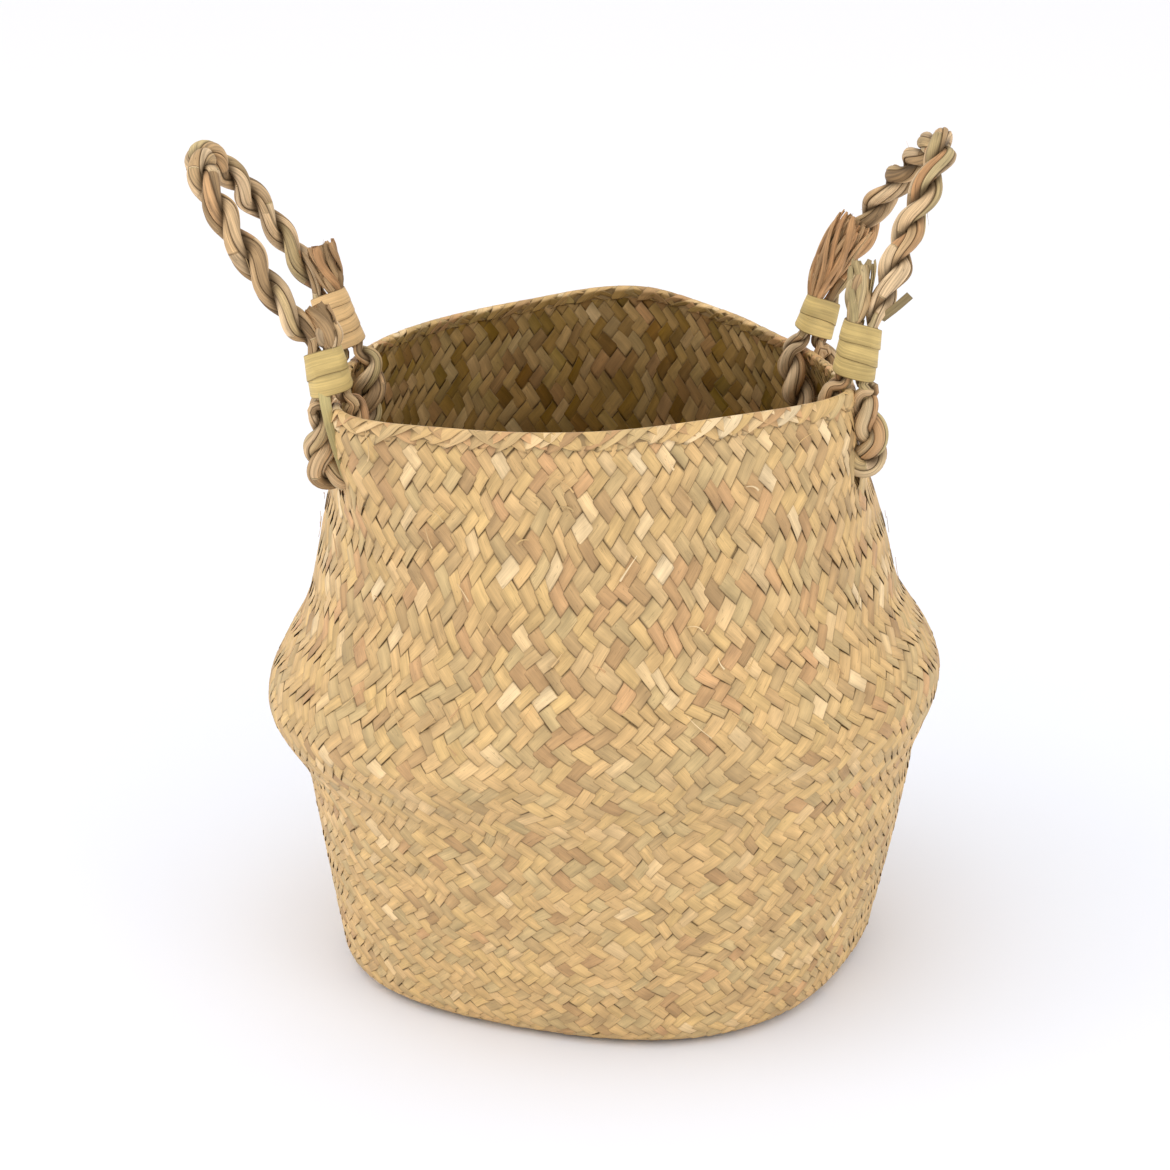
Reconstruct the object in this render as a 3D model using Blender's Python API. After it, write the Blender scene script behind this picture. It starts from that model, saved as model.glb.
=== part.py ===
"""Belly basket of plaited seagrass, with two rope handles.

The wall is one plait that stands up from a flat mat, swells into a belly fold and draws in
to a soft, four-cornered mouth. Each handle is a twisted rope bow. Its two ends run down
outside the wall, through a hole, and up again inside, where a flat strip binds them above
the rim. Metres, +Z up, origin at the centre of the base on the surface that it stands on.
The front, with the mouth's straight side, faces -Y.
"""
import math

import bmesh
import bpy
from mathutils import Matrix, Vector

# The wall: sizes of its outer face
WALL = 0.003
BASE_RADIUS = 0.125
TURN_RADIUS = 0.013
ROOT_HEIGHT = 0.095
ROOT_RADIUS = 0.1405
BELLY_HEIGHT = 0.132
BELLY_RADIUS = 0.155
NECK_HEIGHT = 0.180
NECK_RADIUS = 0.1335
RIM_HEIGHT = 0.281
RIM_RADIUS = 0.112

# How steeply the lower wall leaves the base and enters the belly, in shares of its mean slope
BASE_SLOPE_SHARE = 1.2
ROOT_SLOPE_SHARE = 0.85

# Where the wall's pieces meet, and the gap that touching pieces keep
FOLD_LOW_SEAM = 0.104
FOLD_HIGH_SEAM = 0.165
SEAM_GAP = 0.0003

# The folded edge on top of the wall
EDGE_TALL = 0.0066
EDGE_WIDE = 0.0050

# Hand-made unevenness of the outline
BASE_CORNERS = 4
BASE_CORNER_SHARE = 0.04
BASE_CORNER_ANGLE = math.radians(24)
BASE_SHIFT = 0.0035
BASE_FADE_SHARE = 0.33
BELLY_TILT_SHARE = 0.04
BELLY_SADDLE = 0.009
BELLY_REACH = 0.050

# The mouth: angle, share of the rim radius, share of the rim height that it rises
MOUTH_SHARES = (
    (-90, 1.000, -0.004), (-62, 1.050, 0.012), (-32, 1.090, 0.007), (0, 0.920, -0.014),
    (35, 0.940, -0.025), (60, 0.990, -0.005), (82, 1.010, 0.020), (112, 0.965, 0.004),
    (148, 1.005, -0.011), (180, 1.030, -0.014), (197, 1.080, -0.014), (214, 1.200, -0.014),
    (238, 1.100, -0.007),
)

# Ropes and the strips that bind them
ROPE_RADIUS = 0.0055
BOW_RADIUS = 0.0070
TIED_RADIUS = 0.0038
RIM_ROPE_RADIUS = 0.0049
SWELL_LENGTH = 0.020
LEG_SWELL_LENGTH = 0.022
ROPE_GAP = 0.0006
HOLE_DROP = 0.034
HOLE_CLEARANCE = 0.0013
TIE_THICK = 0.0009
TIE_STRIP_GAP = 0.0006
TIE_SLACK = 0.0004
TIE_LEAD_IN = 0.0025
TIE_ROUND_SHARE = 0.35
LOOP_RADIUS = 0.009
LOOP_SWELL = 0.0015
SLACK_LOOP_SWELL = 0.0040
TAIL_RADIUS = 0.0050
TAIL_LEAD = 0.0045

# How far each binding stands over the rim
LEFT_FRONT_STANDOFF = 0.0055
LEFT_BACK_STANDOFF = 0.0060
RIGHT_FRONT_STANDOFF = 0.0050
RIGHT_BACK_STANDOFF = 0.0070

# How tall each binding is, and how long each cut end above it
LEFT_FRONT_TIE = 0.0205
LEFT_BACK_TIE = 0.0265
RIGHT_FRONT_TIE = 0.0245
RIGHT_BACK_TIE = 0.0175
LEFT_FRONT_TAIL = 0.018
LEFT_BACK_TAIL = 0.020
RIGHT_FRONT_TAIL = 0.028
RIGHT_BACK_TAIL = 0.038

# How far each handle's bow stands from its hinge line, and how far it leans outwards
LEFT_REACH = 0.0815
LEFT_LEAN = math.radians(35)
RIGHT_REACH = 0.0792
RIGHT_LEAN = math.radians(27)

# Counts that set how finely the forms are cut
SHARP_ANGLE = math.radians(40)
RING_SIDES = 48
LOWER_RINGS = 6
FOLD_RINGS = 9
UPPER_RINGS = 8
TURN_STEPS = 4
EDGE_SIDES = 8
HOLE_SIDES = 20
PROFILE_STEPS = 24
ROPE_STEP = 0.0042
LEG_STEP = 0.0034
TIE_STEPS = 24
ROPE_BEVEL_RESOLUTION = 2
BEND_POINTS = 4
PATH_PIECES = 12

UP = Vector((0, 0, 1))

COLOURS = {
    "plait": ((0.60, 0.45, 0.26, 1), 0.75),
    "edge": ((0.55, 0.41, 0.23, 1), 0.75),
    "rope": ((0.46, 0.32, 0.18, 1), 0.8),
    "tie": ((0.62, 0.56, 0.30, 1), 0.6),
    "pale_tie": ((0.66, 0.54, 0.34, 1), 0.6),
}


def ease(share):
    """Rises smoothly from 0 to 1 as share does."""
    share = min(max(share, 0.0), 1.0)
    return share * share * (3 - 2 * share)


def hermite(share, start, end, start_slope, end_slope):
    """A cubic from start to end, with the slopes given per whole span."""
    cube, square = share ** 3, share ** 2
    return ((2 * cube - 3 * square + 1) * start + (cube - 2 * square + share) * start_slope
            + (3 * square - 2 * cube) * end + (cube - square) * end_slope)


def profile_points():
    """Outer (radius, height) pairs of the wall, from the edge of the flat base to the rim."""
    points = []
    for step in range(PROFILE_STEPS):
        turn = math.pi / 2 * step / PROFILE_STEPS
        points.append((BASE_RADIUS - TURN_RADIUS + TURN_RADIUS * math.sin(turn),
                       TURN_RADIUS - TURN_RADIUS * math.cos(turn)))
    mean_slope = (ROOT_RADIUS - BASE_RADIUS) / (ROOT_HEIGHT - TURN_RADIUS)
    base_slope, root_slope = BASE_SLOPE_SHARE * mean_slope, ROOT_SLOPE_SHARE * mean_slope
    high_slope = (RIM_RADIUS - NECK_RADIUS) / (RIM_HEIGHT - NECK_HEIGHT)
    spans = (
        (TURN_RADIUS, BASE_RADIUS, base_slope, ROOT_HEIGHT, ROOT_RADIUS, root_slope),
        (ROOT_HEIGHT, ROOT_RADIUS, root_slope, BELLY_HEIGHT, BELLY_RADIUS, 0),
        (BELLY_HEIGHT, BELLY_RADIUS, 0, NECK_HEIGHT, NECK_RADIUS, high_slope),
        (NECK_HEIGHT, NECK_RADIUS, high_slope, RIM_HEIGHT, RIM_RADIUS, high_slope),
    )
    for low, low_radius, slope_in, high, high_radius, slope_out in spans:
        rise = high - low
        for step in range(PROFILE_STEPS):
            share = step / PROFILE_STEPS
            radius = hermite(share, low_radius, high_radius, slope_in * rise, slope_out * rise)
            points.append((radius, low + share * rise))
    points.append((RIM_RADIUS, RIM_HEIGHT))
    return points


PROFILE = profile_points()


def profile_at(height):
    """Outer radius, and the outward normal in the (radius, height) plane, above the turn."""
    for (radius, low), (next_radius, high) in zip(PROFILE, PROFILE[1:]):
        if low <= height <= high:
            share = (height - low) / (high - low)
            along = Vector((next_radius - radius, high - low)).normalized()
            return radius + share * (next_radius - radius), Vector((along.y, -along.x))
    raise ValueError("no wall at this height")


def mouth_value(angle, column):
    """The mouth's share at an angle, on a smooth closed curve through its points."""
    turn = 2 * math.pi
    first = math.radians(MOUTH_SHARES[0][0])
    angle = (angle - first) % turn + first
    count = len(MOUTH_SHARES)
    knots = [(math.radians(MOUTH_SHARES[i % count][0]) + turn * (i // count),
              MOUTH_SHARES[i % count][column]) for i in range(-1, count + 2)]
    index = max(i for i in range(1, count + 1) if knots[i][0] <= angle)
    before, low, high, after = knots[index - 1:index + 3]
    span = high[0] - low[0]
    slope_in = (high[1] - before[1]) / (high[0] - before[0]) * span
    slope_out = (after[1] - low[1]) / (after[0] - low[0]) * span
    return hermite((angle - low[0]) / span, low[1], high[1], slope_in, slope_out)


def place(angle, radius, height):
    """A point of the round wall, moved to where the hand-made basket has it."""
    near_base = ease((1 - height / BELLY_HEIGHT) / BASE_FADE_SHARE)
    base_share = max(1 - height / BELLY_HEIGHT, 0) ** 1.5
    near_rim = ease((height - NECK_HEIGHT) / (RIM_HEIGHT - NECK_HEIGHT))
    near_belly = math.exp(-((height - BELLY_HEIGHT) / BELLY_REACH) ** 2)
    corners = 1 + BASE_CORNER_SHARE * base_share * math.cos(BASE_CORNERS * (angle - BASE_CORNER_ANGLE))
    mouth = 1 + near_rim ** 2 * (mouth_value(angle, 1) - 1)
    radius = radius * corners * mouth
    x = radius * math.cos(angle) + BASE_SHIFT * near_base
    y = radius * math.sin(angle)
    lift = near_rim * mouth_value(angle, 2) * RIM_HEIGHT
    lift += near_belly * (BELLY_TILT_SHARE * x + BELLY_SADDLE * math.sin(angle) ** 2)
    return Vector((x, y, height + lift * ease(height / TURN_RADIUS)))


def wall_point(angle, height, depth=0.0):
    """A point of the wall at a height, depth inside its outer face."""
    radius, normal = profile_at(height)
    return place(angle, radius - depth * normal.x, height - depth * normal.y)


def material(name):
    made = bpy.data.materials.get(name)
    if made is None:
        colour, roughness = COLOURS[name]
        made = bpy.data.materials.new(name)
        made.use_nodes = True
        shader = made.node_tree.nodes["Principled BSDF"]
        shader.inputs["Base Color"].default_value = colour
        shader.inputs["Roughness"].default_value = roughness
        made.diffuse_color = colour
    return made


def collection(name):
    made = bpy.data.collections.new(name)
    bpy.context.scene.collection.children.link(made)
    return made


def add_object(name, data, finish, parent=None, group="belly_basket"):
    made = bpy.data.objects.new(name, data)
    bpy.data.collections[group].objects.link(made)
    if finish:
        data.materials.append(material(finish))
    made.parent = parent
    return made


def add_empty(name, location):
    made = bpy.data.objects.new(name, None)
    bpy.data.collections["belly_basket"].objects.link(made)
    made.location = location
    return made


def loft(name, rings, finish, origin, closed=False, parent=None):
    """A mesh through rings of points, as a closed tube or with a flat cap on each end."""
    form = bmesh.new()
    loops = []
    for ring in rings:
        circle = bmesh.ops.create_circle(form, segments=len(ring), radius=WALL)["verts"]
        for vertex, point in zip(circle, ring):
            vertex.co = point - origin
        loops.append([edge for edge in form.edges if all(v in circle for v in edge.verts)])
    pairs = list(zip(loops, loops[1:]))
    if closed:
        pairs.append((loops[-1], loops[0]))
    for low, high in pairs:
        bmesh.ops.bridge_loops(form, edges=low + high)
    if not closed:
        bmesh.ops.holes_fill(form, edges=loops[0] + loops[-1], sides=0)
    bmesh.ops.recalc_face_normals(form, faces=form.faces)
    mesh = bpy.data.meshes.new(name)
    form.to_mesh(mesh)
    form.free()
    mesh.shade_smooth()
    mesh.set_sharp_from_angle(angle=SHARP_ANGLE)
    made = add_object(name, mesh, finish, parent)
    made.location = origin - (parent.location if parent else Vector())
    return made


def angles():
    return [2 * math.pi * side / RING_SIDES for side in range(RING_SIDES)]


def shell(name, stations, origin, parent=None):
    """A wall piece through (radius, height, normal) stations, WALL thick."""
    outer = [[place(a, radius, height) for a in angles()] for radius, height, _ in stations]
    inner = [[place(a, radius - WALL * normal.x, height - WALL * normal.y) for a in angles()]
             for radius, height, normal in reversed(stations)]
    return loft(name, outer + inner, "plait", origin, closed=True, parent=parent)


def stations_between(low, high, count):
    """Profile stations at even heights, straight above the turn."""
    made = []
    for step in range(count):
        height = low + (high - low) * step / (count - 1)
        radius, normal = profile_at(height)
        made.append((radius, height, normal))
    return made


def base_mat():
    """The flat mat that the wall stands up from."""
    radius = BASE_RADIUS - TURN_RADIUS - SEAM_GAP
    rings = [[place(a, radius, height) for a in angles()] for height in (0.0, WALL)]
    return loft("base_mat", rings, "plait", Vector())


def lower_wall():
    """The rounded turn at the base and the wall up to the belly fold."""
    turn = []
    for step in range(TURN_STEPS):
        angle = math.pi / 2 * step / TURN_STEPS
        normal = Vector((math.sin(angle), -math.cos(angle)))
        centre = Vector((BASE_RADIUS - TURN_RADIUS, TURN_RADIUS))
        point = centre + TURN_RADIUS * normal
        turn.append((point.x, point.y, normal))
    straight = stations_between(TURN_RADIUS, FOLD_LOW_SEAM - SEAM_GAP / 2, LOWER_RINGS)
    return shell("lower_wall", turn + straight, Vector())


def belly_fold():
    """The swelling round the middle, which crumples when the basket is pressed down."""
    stations = stations_between(FOLD_LOW_SEAM + SEAM_GAP / 2, FOLD_HIGH_SEAM - SEAM_GAP / 2,
                                FOLD_RINGS)
    return shell("belly_fold", stations, Vector())


def upper_wall(parent):
    """The wall from the belly fold up to the folded edge."""
    top = RIM_HEIGHT - EDGE_TALL - SEAM_GAP
    stations = stations_between(FOLD_HIGH_SEAM + SEAM_GAP / 2, top, UPPER_RINGS)
    return shell("upper_wall", stations, Vector(), parent)


def edge_centre(angle):
    return wall_point(angle, RIM_HEIGHT - EDGE_TALL / 2, WALL / 2)


def rim_outward(angle):
    """The level direction straight out of the mouth's outline at an angle."""
    step = math.pi / RING_SIDES
    along = edge_centre(angle + step) - edge_centre(angle - step)
    return along.cross(UP).normalized()


def rim_edge(parent):
    """The folded and plaited edge on top of the wall, a soft rounded bead."""
    rings = []
    for side in range(EDGE_SIDES):
        turn = 2 * math.pi * side / EDGE_SIDES
        out, rise = EDGE_WIDE / 2 * math.cos(turn), EDGE_TALL / 2 * math.sin(turn)
        ring = []
        for angle in angles():
            outward = Vector((math.cos(angle), math.sin(angle), 0))
            ring.append(edge_centre(angle) + out * outward + rise * UP)
        rings.append(ring)
    return loft("rim_edge", rings, "edge", Vector(), closed=True, parent=parent)


def smooth_path(points, step):
    """Points at even steps along a smooth curve through the given ones."""
    dense = []
    ends = [2 * points[0] - points[1]] + points + [2 * points[-1] - points[-2]]
    spans = [(there - here).length for here, there in zip(ends, ends[1:])]
    speeds = [(there - here) / span for here, there, span in zip(ends, ends[1:], spans)]
    slopes = [(speed_in * span_out + speed_out * span_in) / (span_in + span_out)
              for speed_in, speed_out, span_in, span_out
              in zip(speeds, speeds[1:], spans, spans[1:])]
    for low, high, slope_in, slope_out in zip(points, points[1:], slopes, slopes[1:]):
        span = (high - low).length
        for piece in range(PATH_PIECES):
            dense.append(hermite(piece / PATH_PIECES, low, high, slope_in * span,
                                 slope_out * span))
    dense.append(points[-1])
    lengths = [0.0]
    for here, there in zip(dense, dense[1:]):
        lengths.append(lengths[-1] + (there - here).length)
    count = max(round(lengths[-1] / step), 2)
    made, index = [], 0
    for number in range(count + 1):
        target = lengths[-1] * number / count
        while index < len(dense) - 2 and lengths[index + 1] < target:
            index += 1
        share = (target - lengths[index]) / (lengths[index + 1] - lengths[index])
        made.append(dense[index].lerp(dense[index + 1], share))
    return made


def rope(name, points, origin, finish="rope", parent=None, thickness=ROPE_RADIUS, radii=None):
    """A round rope along points; radii are shares of its thickness at each point."""
    curve = bpy.data.curves.new(name, "CURVE")
    curve.dimensions = "3D"
    curve.bevel_depth = thickness
    curve.bevel_resolution = ROPE_BEVEL_RESOLUTION
    curve.use_fill_caps = True
    spline = curve.splines.new("POLY")
    spline.points.add(len(points) - 1)
    for number, point in enumerate(points):
        spline.points[number].co = (*(point - origin), 1)
        spline.points[number].radius = radii[number] if radii else 1.0
    made = add_object(name, curve, finish, parent)
    made.location = origin - (parent.location if parent else Vector())
    return made


class Leg:
    """Where one end of a handle's rope meets the wall.

    across points along the wall, out points away from it, and lean is the tie's own way up.
    """

    def __init__(self, name, angle, standoff, tie_height, tie_turns, tie_finish, lean_share,
                 loop_out, tail, tail_shares, fan_share):
        self.name = name
        self.angle = angle
        self.tie_height = tie_height
        self.tie_turns = tie_turns
        self.tie_strip = (tie_height - tie_turns * TIE_STRIP_GAP) / (tie_turns + 1)
        self.tie_finish = tie_finish
        self.loop_out = loop_out
        self.tail = tail
        self.tail_shares = tail_shares
        self.fan_share = fan_share
        self.out = rim_outward(angle)
        self.rim = edge_centre(angle) + EDGE_TALL / 2 * UP
        self.up = (UP + lean_share * self.out).normalized()
        self.hole = wall_point(angle, RIM_HEIGHT - HOLE_DROP, WALL / 2)
        self.wall_up = (edge_centre(angle) - self.hole).normalized()
        self.wall_out = self.wall_up.cross(UP.cross(self.out)).normalized()
        if self.wall_out.dot(self.out) < 0:
            self.wall_out = -self.wall_out
        self.tie_foot = self.rim + standoff * self.up
        self.strand = TIED_RADIUS + ROPE_GAP / 2
        self.side = self.up.cross(self.out).normalized()
        self.flat_out = self.side.cross(self.up).normalized()
        self.top = self.tie_foot + self.tie_height * self.up
        self.strand_top = self.top - self.flat_out * self.strand
        self.pivot = (self.top + self.flat_out * self.strand
                      + (TIED_RADIUS + SEAM_GAP) * self.up)

    def rope_points(self):
        """From the top of the tie inside, down, through the wall, and up outside to the tie."""
        past_edge = EDGE_WIDE / 2 + RIM_ROPE_RADIUS + 2 * ROPE_GAP
        lead = TIE_LEAD_IN * self.up
        middle = self.tie_height / 2 * self.up
        outward = self.flat_out * self.strand
        edge = self.rim - EDGE_TALL / 2 * UP
        bend_centre = self.hole + LOOP_RADIUS * self.wall_up
        halfway = (bend_centre + edge) / 2
        inside = [self.strand_top, self.tie_foot + middle - outward, self.tie_foot - outward,
                  self.tie_foot - lead - outward, self.rim - past_edge * self.out,
                  edge - past_edge * self.wall_out,
                  halfway - LOOP_RADIUS * self.wall_out]
        bend = []
        for step in range(BEND_POINTS + 1):
            turn = math.pi * step / BEND_POINTS
            bend.append(bend_centre - LOOP_RADIUS * (math.cos(turn) * self.wall_out
                                                     + math.sin(turn) * self.wall_up))
        outside = [halfway + (LOOP_RADIUS + self.loop_out) * self.wall_out,
                   edge + (past_edge + self.loop_out / 2) * self.wall_out,
                   self.rim + past_edge * self.out - EDGE_TALL / 4 * UP,
                   self.tie_foot - lead + outward, self.tie_foot + outward,
                   self.tie_foot + middle + outward, self.top + outward]
        return inside + bend + outside

    def hole_cutter(self):
        """A pin through the wall, wider than the rope by its clearance."""
        form = bmesh.new()
        length = 2 * ROPE_RADIUS + 2 * WALL
        bmesh.ops.create_cone(form, cap_ends=True, segments=HOLE_SIDES, depth=length,
                              radius1=ROPE_RADIUS + HOLE_CLEARANCE,
                              radius2=ROPE_RADIUS + HOLE_CLEARANCE)
        mesh = bpy.data.meshes.new(self.name + "_hole")
        form.to_mesh(mesh)
        form.free()
        cutter = add_object(self.name + "_hole", mesh, None, group="cutters")
        cutter.matrix_world = (Matrix.Translation(self.hole)
                               @ self.wall_out.to_track_quat("Z", "Y").to_matrix().to_4x4())
        cutter.hide_render = True
        cutter.display_type = "WIRE"
        return cutter


def through_wall(wall, legs):
    """Cuts each leg's hole in the wall."""
    for leg in legs:
        cut = wall.modifiers.new(leg.name + "_hole", "BOOLEAN")
        cut.operation = "DIFFERENCE"
        cut.object = leg.hole_cutter()


def swelling(path, tied, length, full=ROPE_RADIUS):
    """Shares of the rope's full radius along a path: thin where it is bound, for a stretch from
    each end, and full a length further on."""
    lengths = [0.0]
    for here, there in zip(path, path[1:]):
        lengths.append(lengths[-1] + (there - here).length)
    tied_share = TIED_RADIUS / full
    return [tied_share + (1 - tied_share) * ease((min(run, lengths[-1] - run) - tied)
                                                 / length) for run in lengths]


def leg_rope(leg, parent):
    path = smooth_path(leg.rope_points(), LEG_STEP)
    return rope(leg.name + "_rope", path, leg.rim, parent=parent,
                radii=swelling(path, leg.tie_height + TIE_LEAD_IN, LEG_SWELL_LENGTH))


def tie_outline(leg, turn):
    """The strip's middle line round the two strands, at a turn counted in radians."""
    reach = TIED_RADIUS + TIE_SLACK + TIE_THICK / 2
    across, out = reach * math.sin(turn), reach * math.cos(turn)
    shift = leg.strand * (1 if out >= 0 else -1) * min(1.0, abs(out) / (reach * TIE_ROUND_SHARE))
    return across, out + shift


def least_gap(points, turn_steps, strip):
    """The least distance between neighbouring turns, from edge to edge of the strip."""
    far = turn_steps // 2
    return min((here - there).length for i, here in enumerate(points)
               for there in points[i + far:]) - strip


def strip_profile(leg):
    """The flat strip's section, drawn as a guide."""
    name = leg.name + "_strip_section"
    curve = bpy.data.curves.new(name, "CURVE")
    curve.dimensions = "2D"
    spline = curve.splines.new("POLY")
    spline.points.add(3)
    half_thick, half_wide = TIE_THICK / 2, leg.tie_strip / 2
    corners = ((-half_thick, half_wide), (half_thick, half_wide),
               (half_thick, -half_wide), (-half_thick, -half_wide))
    for point, (x, y) in zip(spline.points, corners):
        point.co = (x, y, 0, 1)
    spline.use_cyclic_u = True
    guide = add_object(name, curve, None, group="cutters")
    guide.hide_render = True
    guide.display_type = "WIRE"
    return guide


def tie(leg, parent):
    """A flat strip wound round both strands of a leg, as one unbroken helix."""
    steps = round(leg.tie_turns * TIE_STEPS)
    points = []
    for step in range(steps + 1):
        across, out = tie_outline(leg, 2 * math.pi * step / TIE_STEPS)
        rise = leg.tie_strip / 2 + (leg.tie_strip + TIE_STRIP_GAP) * step / TIE_STEPS
        points.append(Vector((out, across, rise)))
    print(leg.name, "tie: least gap between turns, mm:",
          round(1000 * least_gap(points, TIE_STEPS, leg.tie_strip), 3))
    curve = bpy.data.curves.new(leg.name + "_tie", "CURVE")
    curve.dimensions = "3D"
    curve.twist_mode = "Z_UP"
    curve.bevel_mode = "OBJECT"
    curve.bevel_object = strip_profile(leg)
    curve.use_fill_caps = True
    spline = curve.splines.new("POLY")
    spline.points.add(len(points) - 1)
    for target, point in zip(spline.points, points):
        target.co = (*point, 1)
    made = add_object(leg.name + "_tie", curve, leg.tie_finish, parent)
    turned = Matrix((leg.flat_out, leg.side, leg.up)).transposed()
    made.rotation_euler = turned.to_euler()
    made.location = leg.tie_foot - (parent.location if parent else Vector())
    return made


def tail(leg, parent):
    """The cut end of the rope above the tie, which fans out a little."""
    start = leg.strand_top + SEAM_GAP * leg.up
    points = [start, start + TAIL_LEAD * leg.up]
    points += [start + leg.tail * Vector(share) for share in leg.tail_shares]
    path = smooth_path(points, ROPE_STEP)
    last = len(path) - 1
    tied_share = TIED_RADIUS / TAIL_RADIUS
    radii = [tied_share + (leg.fan_share - tied_share) * ease(number / last)
             for number in range(last + 1)]
    return rope(leg.name + "_tail", path, points[0], parent=parent, radii=radii,
                thickness=TAIL_RADIUS)


def bow_route(front, back, reach, lean, shares):
    """The points that a bow passes between its two pivots."""
    middle = (front.pivot + back.pivot) / 2
    half = (back.pivot - front.pivot) / 2
    outward = UP.cross(half).normalized()
    if outward.dot(front.out) < 0:
        outward = -outward
    rise = math.cos(lean) * UP + math.sin(lean) * outward
    return [middle + along * half + reach * up * rise for along, up in shares]


def bow(name, front, back, route, parent):
    """A handle's rope bow, with round ends that turn on the line through both tie tops."""
    path = smooth_path([front.pivot] + route + [back.pivot], ROPE_STEP)
    axis_in = (path[0] - path[1]).normalized()
    axis_out = (path[-1] - path[-2]).normalized()
    start = [path[0] + axis_in * TIED_RADIUS * share for share in BOW_END_SHARES]
    end = [path[-1] + axis_out * TIED_RADIUS * share for share in BOW_END_SHARES]
    round_radii = [TIED_RADIUS / BOW_RADIUS * math.sqrt(1 - share ** 2)
                   for share in BOW_END_SHARES]
    points = start + path + end[::-1]
    radii = round_radii + swelling(path, 0.0, SWELL_LENGTH, BOW_RADIUS) + round_radii[::-1]
    return rope(name, points, parent.location.copy(), parent=parent, thickness=BOW_RADIUS,
                radii=radii)


# Each bow's route, in shares: along its hinge line from the middle, and up its reach
LEFT_BOW_SHARES = (
    (-1.06, 0.09), (-1.06, 0.22), (-1.00, 0.38), (-0.92, 0.52), (-0.80, 0.66), (-0.63, 0.80),
    (-0.38, 0.92), (-0.05, 1.00), (0.32, 0.985), (0.64, 0.92), (0.93, 0.80), (1.10, 0.66),
    (1.20, 0.50), (1.24, 0.34), (1.17, 0.17),
)
RIGHT_BOW_SHARES = (
    (-0.97, 0.09), (-0.88, 0.22), (-0.66, 0.38), (-0.50, 0.54), (-0.42, 0.70), (-0.34, 0.84),
    (-0.22, 0.955), (0.00, 1.00), (0.26, 0.955), (0.56, 0.86), (0.87, 0.72), (1.10, 0.55),
    (1.19, 0.37), (1.10, 0.18),
)

# How far each ring of a bow's round end lies beyond its pivot, in shares of its radius there
BOW_END_SHARES = (0.97, 0.87, 0.71, 0.5)

# Each leg of a handle; a tail's points are in shares of its own length
LEFT_FRONT = {
    "angle": math.radians(207.5), "standoff": LEFT_FRONT_STANDOFF,
    "tie_height": LEFT_FRONT_TIE, "tie_turns": 3, "tie_finish": "tie", "lean_share": 0.20,
    "loop_out": LOOP_SWELL, "tail": LEFT_FRONT_TAIL,
    "tail_shares": ((-0.06, 0.06, 0.5), (-0.17, 0.11, 1.0)), "fan_share": 1.0,
}
LEFT_BACK = {
    "angle": math.radians(173.5), "standoff": LEFT_BACK_STANDOFF,
    "tie_height": LEFT_BACK_TIE, "tie_turns": 3, "tie_finish": "pale_tie", "lean_share": 0.36,
    "loop_out": LOOP_SWELL,
    "tail": LEFT_BACK_TAIL, "tail_shares": ((-0.08, 0.05, 0.5), (-0.20, 0.10, 1.0)),
    "fan_share": 1.05,
}
RIGHT_FRONT = {
    "angle": math.radians(-25.5), "standoff": RIGHT_FRONT_STANDOFF,
    "tie_height": RIGHT_FRONT_TIE, "tie_turns": 3, "tie_finish": "tie", "lean_share": 0.16,
    "loop_out": SLACK_LOOP_SWELL,
    "tail": RIGHT_FRONT_TAIL, "tail_shares": ((-0.04, 0.07, 0.5), (0.07, 0.14, 1.0)),
    "fan_share": 0.9,
}
RIGHT_BACK = {
    "angle": math.radians(24.5), "standoff": RIGHT_BACK_STANDOFF,
    "tie_height": RIGHT_BACK_TIE, "tie_turns": 2.5, "tie_finish": "tie", "lean_share": 0.33,
    "loop_out": LOOP_SWELL, "tail": RIGHT_BACK_TAIL,
    "tail_shares": ((0.11, 0.05, 0.47), (0.32, 0.13, 1.0)), "fan_share": 1.5,
}


def clear_scene():
    for made in list(bpy.data.objects):
        bpy.data.objects.remove(made, do_unlink=True)


def main():
    clear_scene()
    collection("belly_basket")
    collection("cutters")
    base_mat()
    lower_wall()
    belly_fold()
    press = add_empty("belly_press", Vector((0, 0, FOLD_HIGH_SEAM)))
    wall = upper_wall(press)
    rim_edge(press)
    handles = (("left", LEFT_FRONT, LEFT_BACK, LEFT_REACH, LEFT_LEAN, LEFT_BOW_SHARES),
               ("right", RIGHT_FRONT, RIGHT_BACK, RIGHT_REACH, RIGHT_LEAN, RIGHT_BOW_SHARES))
    for side, front_facts, back_facts, reach, lean, shares in handles:
        legs = [Leg(side + "_front", **front_facts), Leg(side + "_back", **back_facts)]
        through_wall(wall, legs)
        for leg in legs:
            leg_rope(leg, press)
            tie(leg, press)
            tail(leg, press)
        hinge = add_empty(side + "_handle", (legs[0].pivot + legs[1].pivot) / 2)
        bow(side + "_bow", *legs, bow_route(*legs, reach, lean, shares), hinge)
        print(side, "pivots", [tuple(round(v, 5) for v in leg.pivot) for leg in legs])


main()
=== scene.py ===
"""Belly basket of plaited seagrass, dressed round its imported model.

Every strip of the wall's diagonal twill, the mat under it, the overcast edge, the two-strand
ropes, the wound bindings and the frayed cut ends are real geometry, and each stands for the
plain solid of the same place. Metres, +Z up, front towards -Y.
"""
import math

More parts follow.
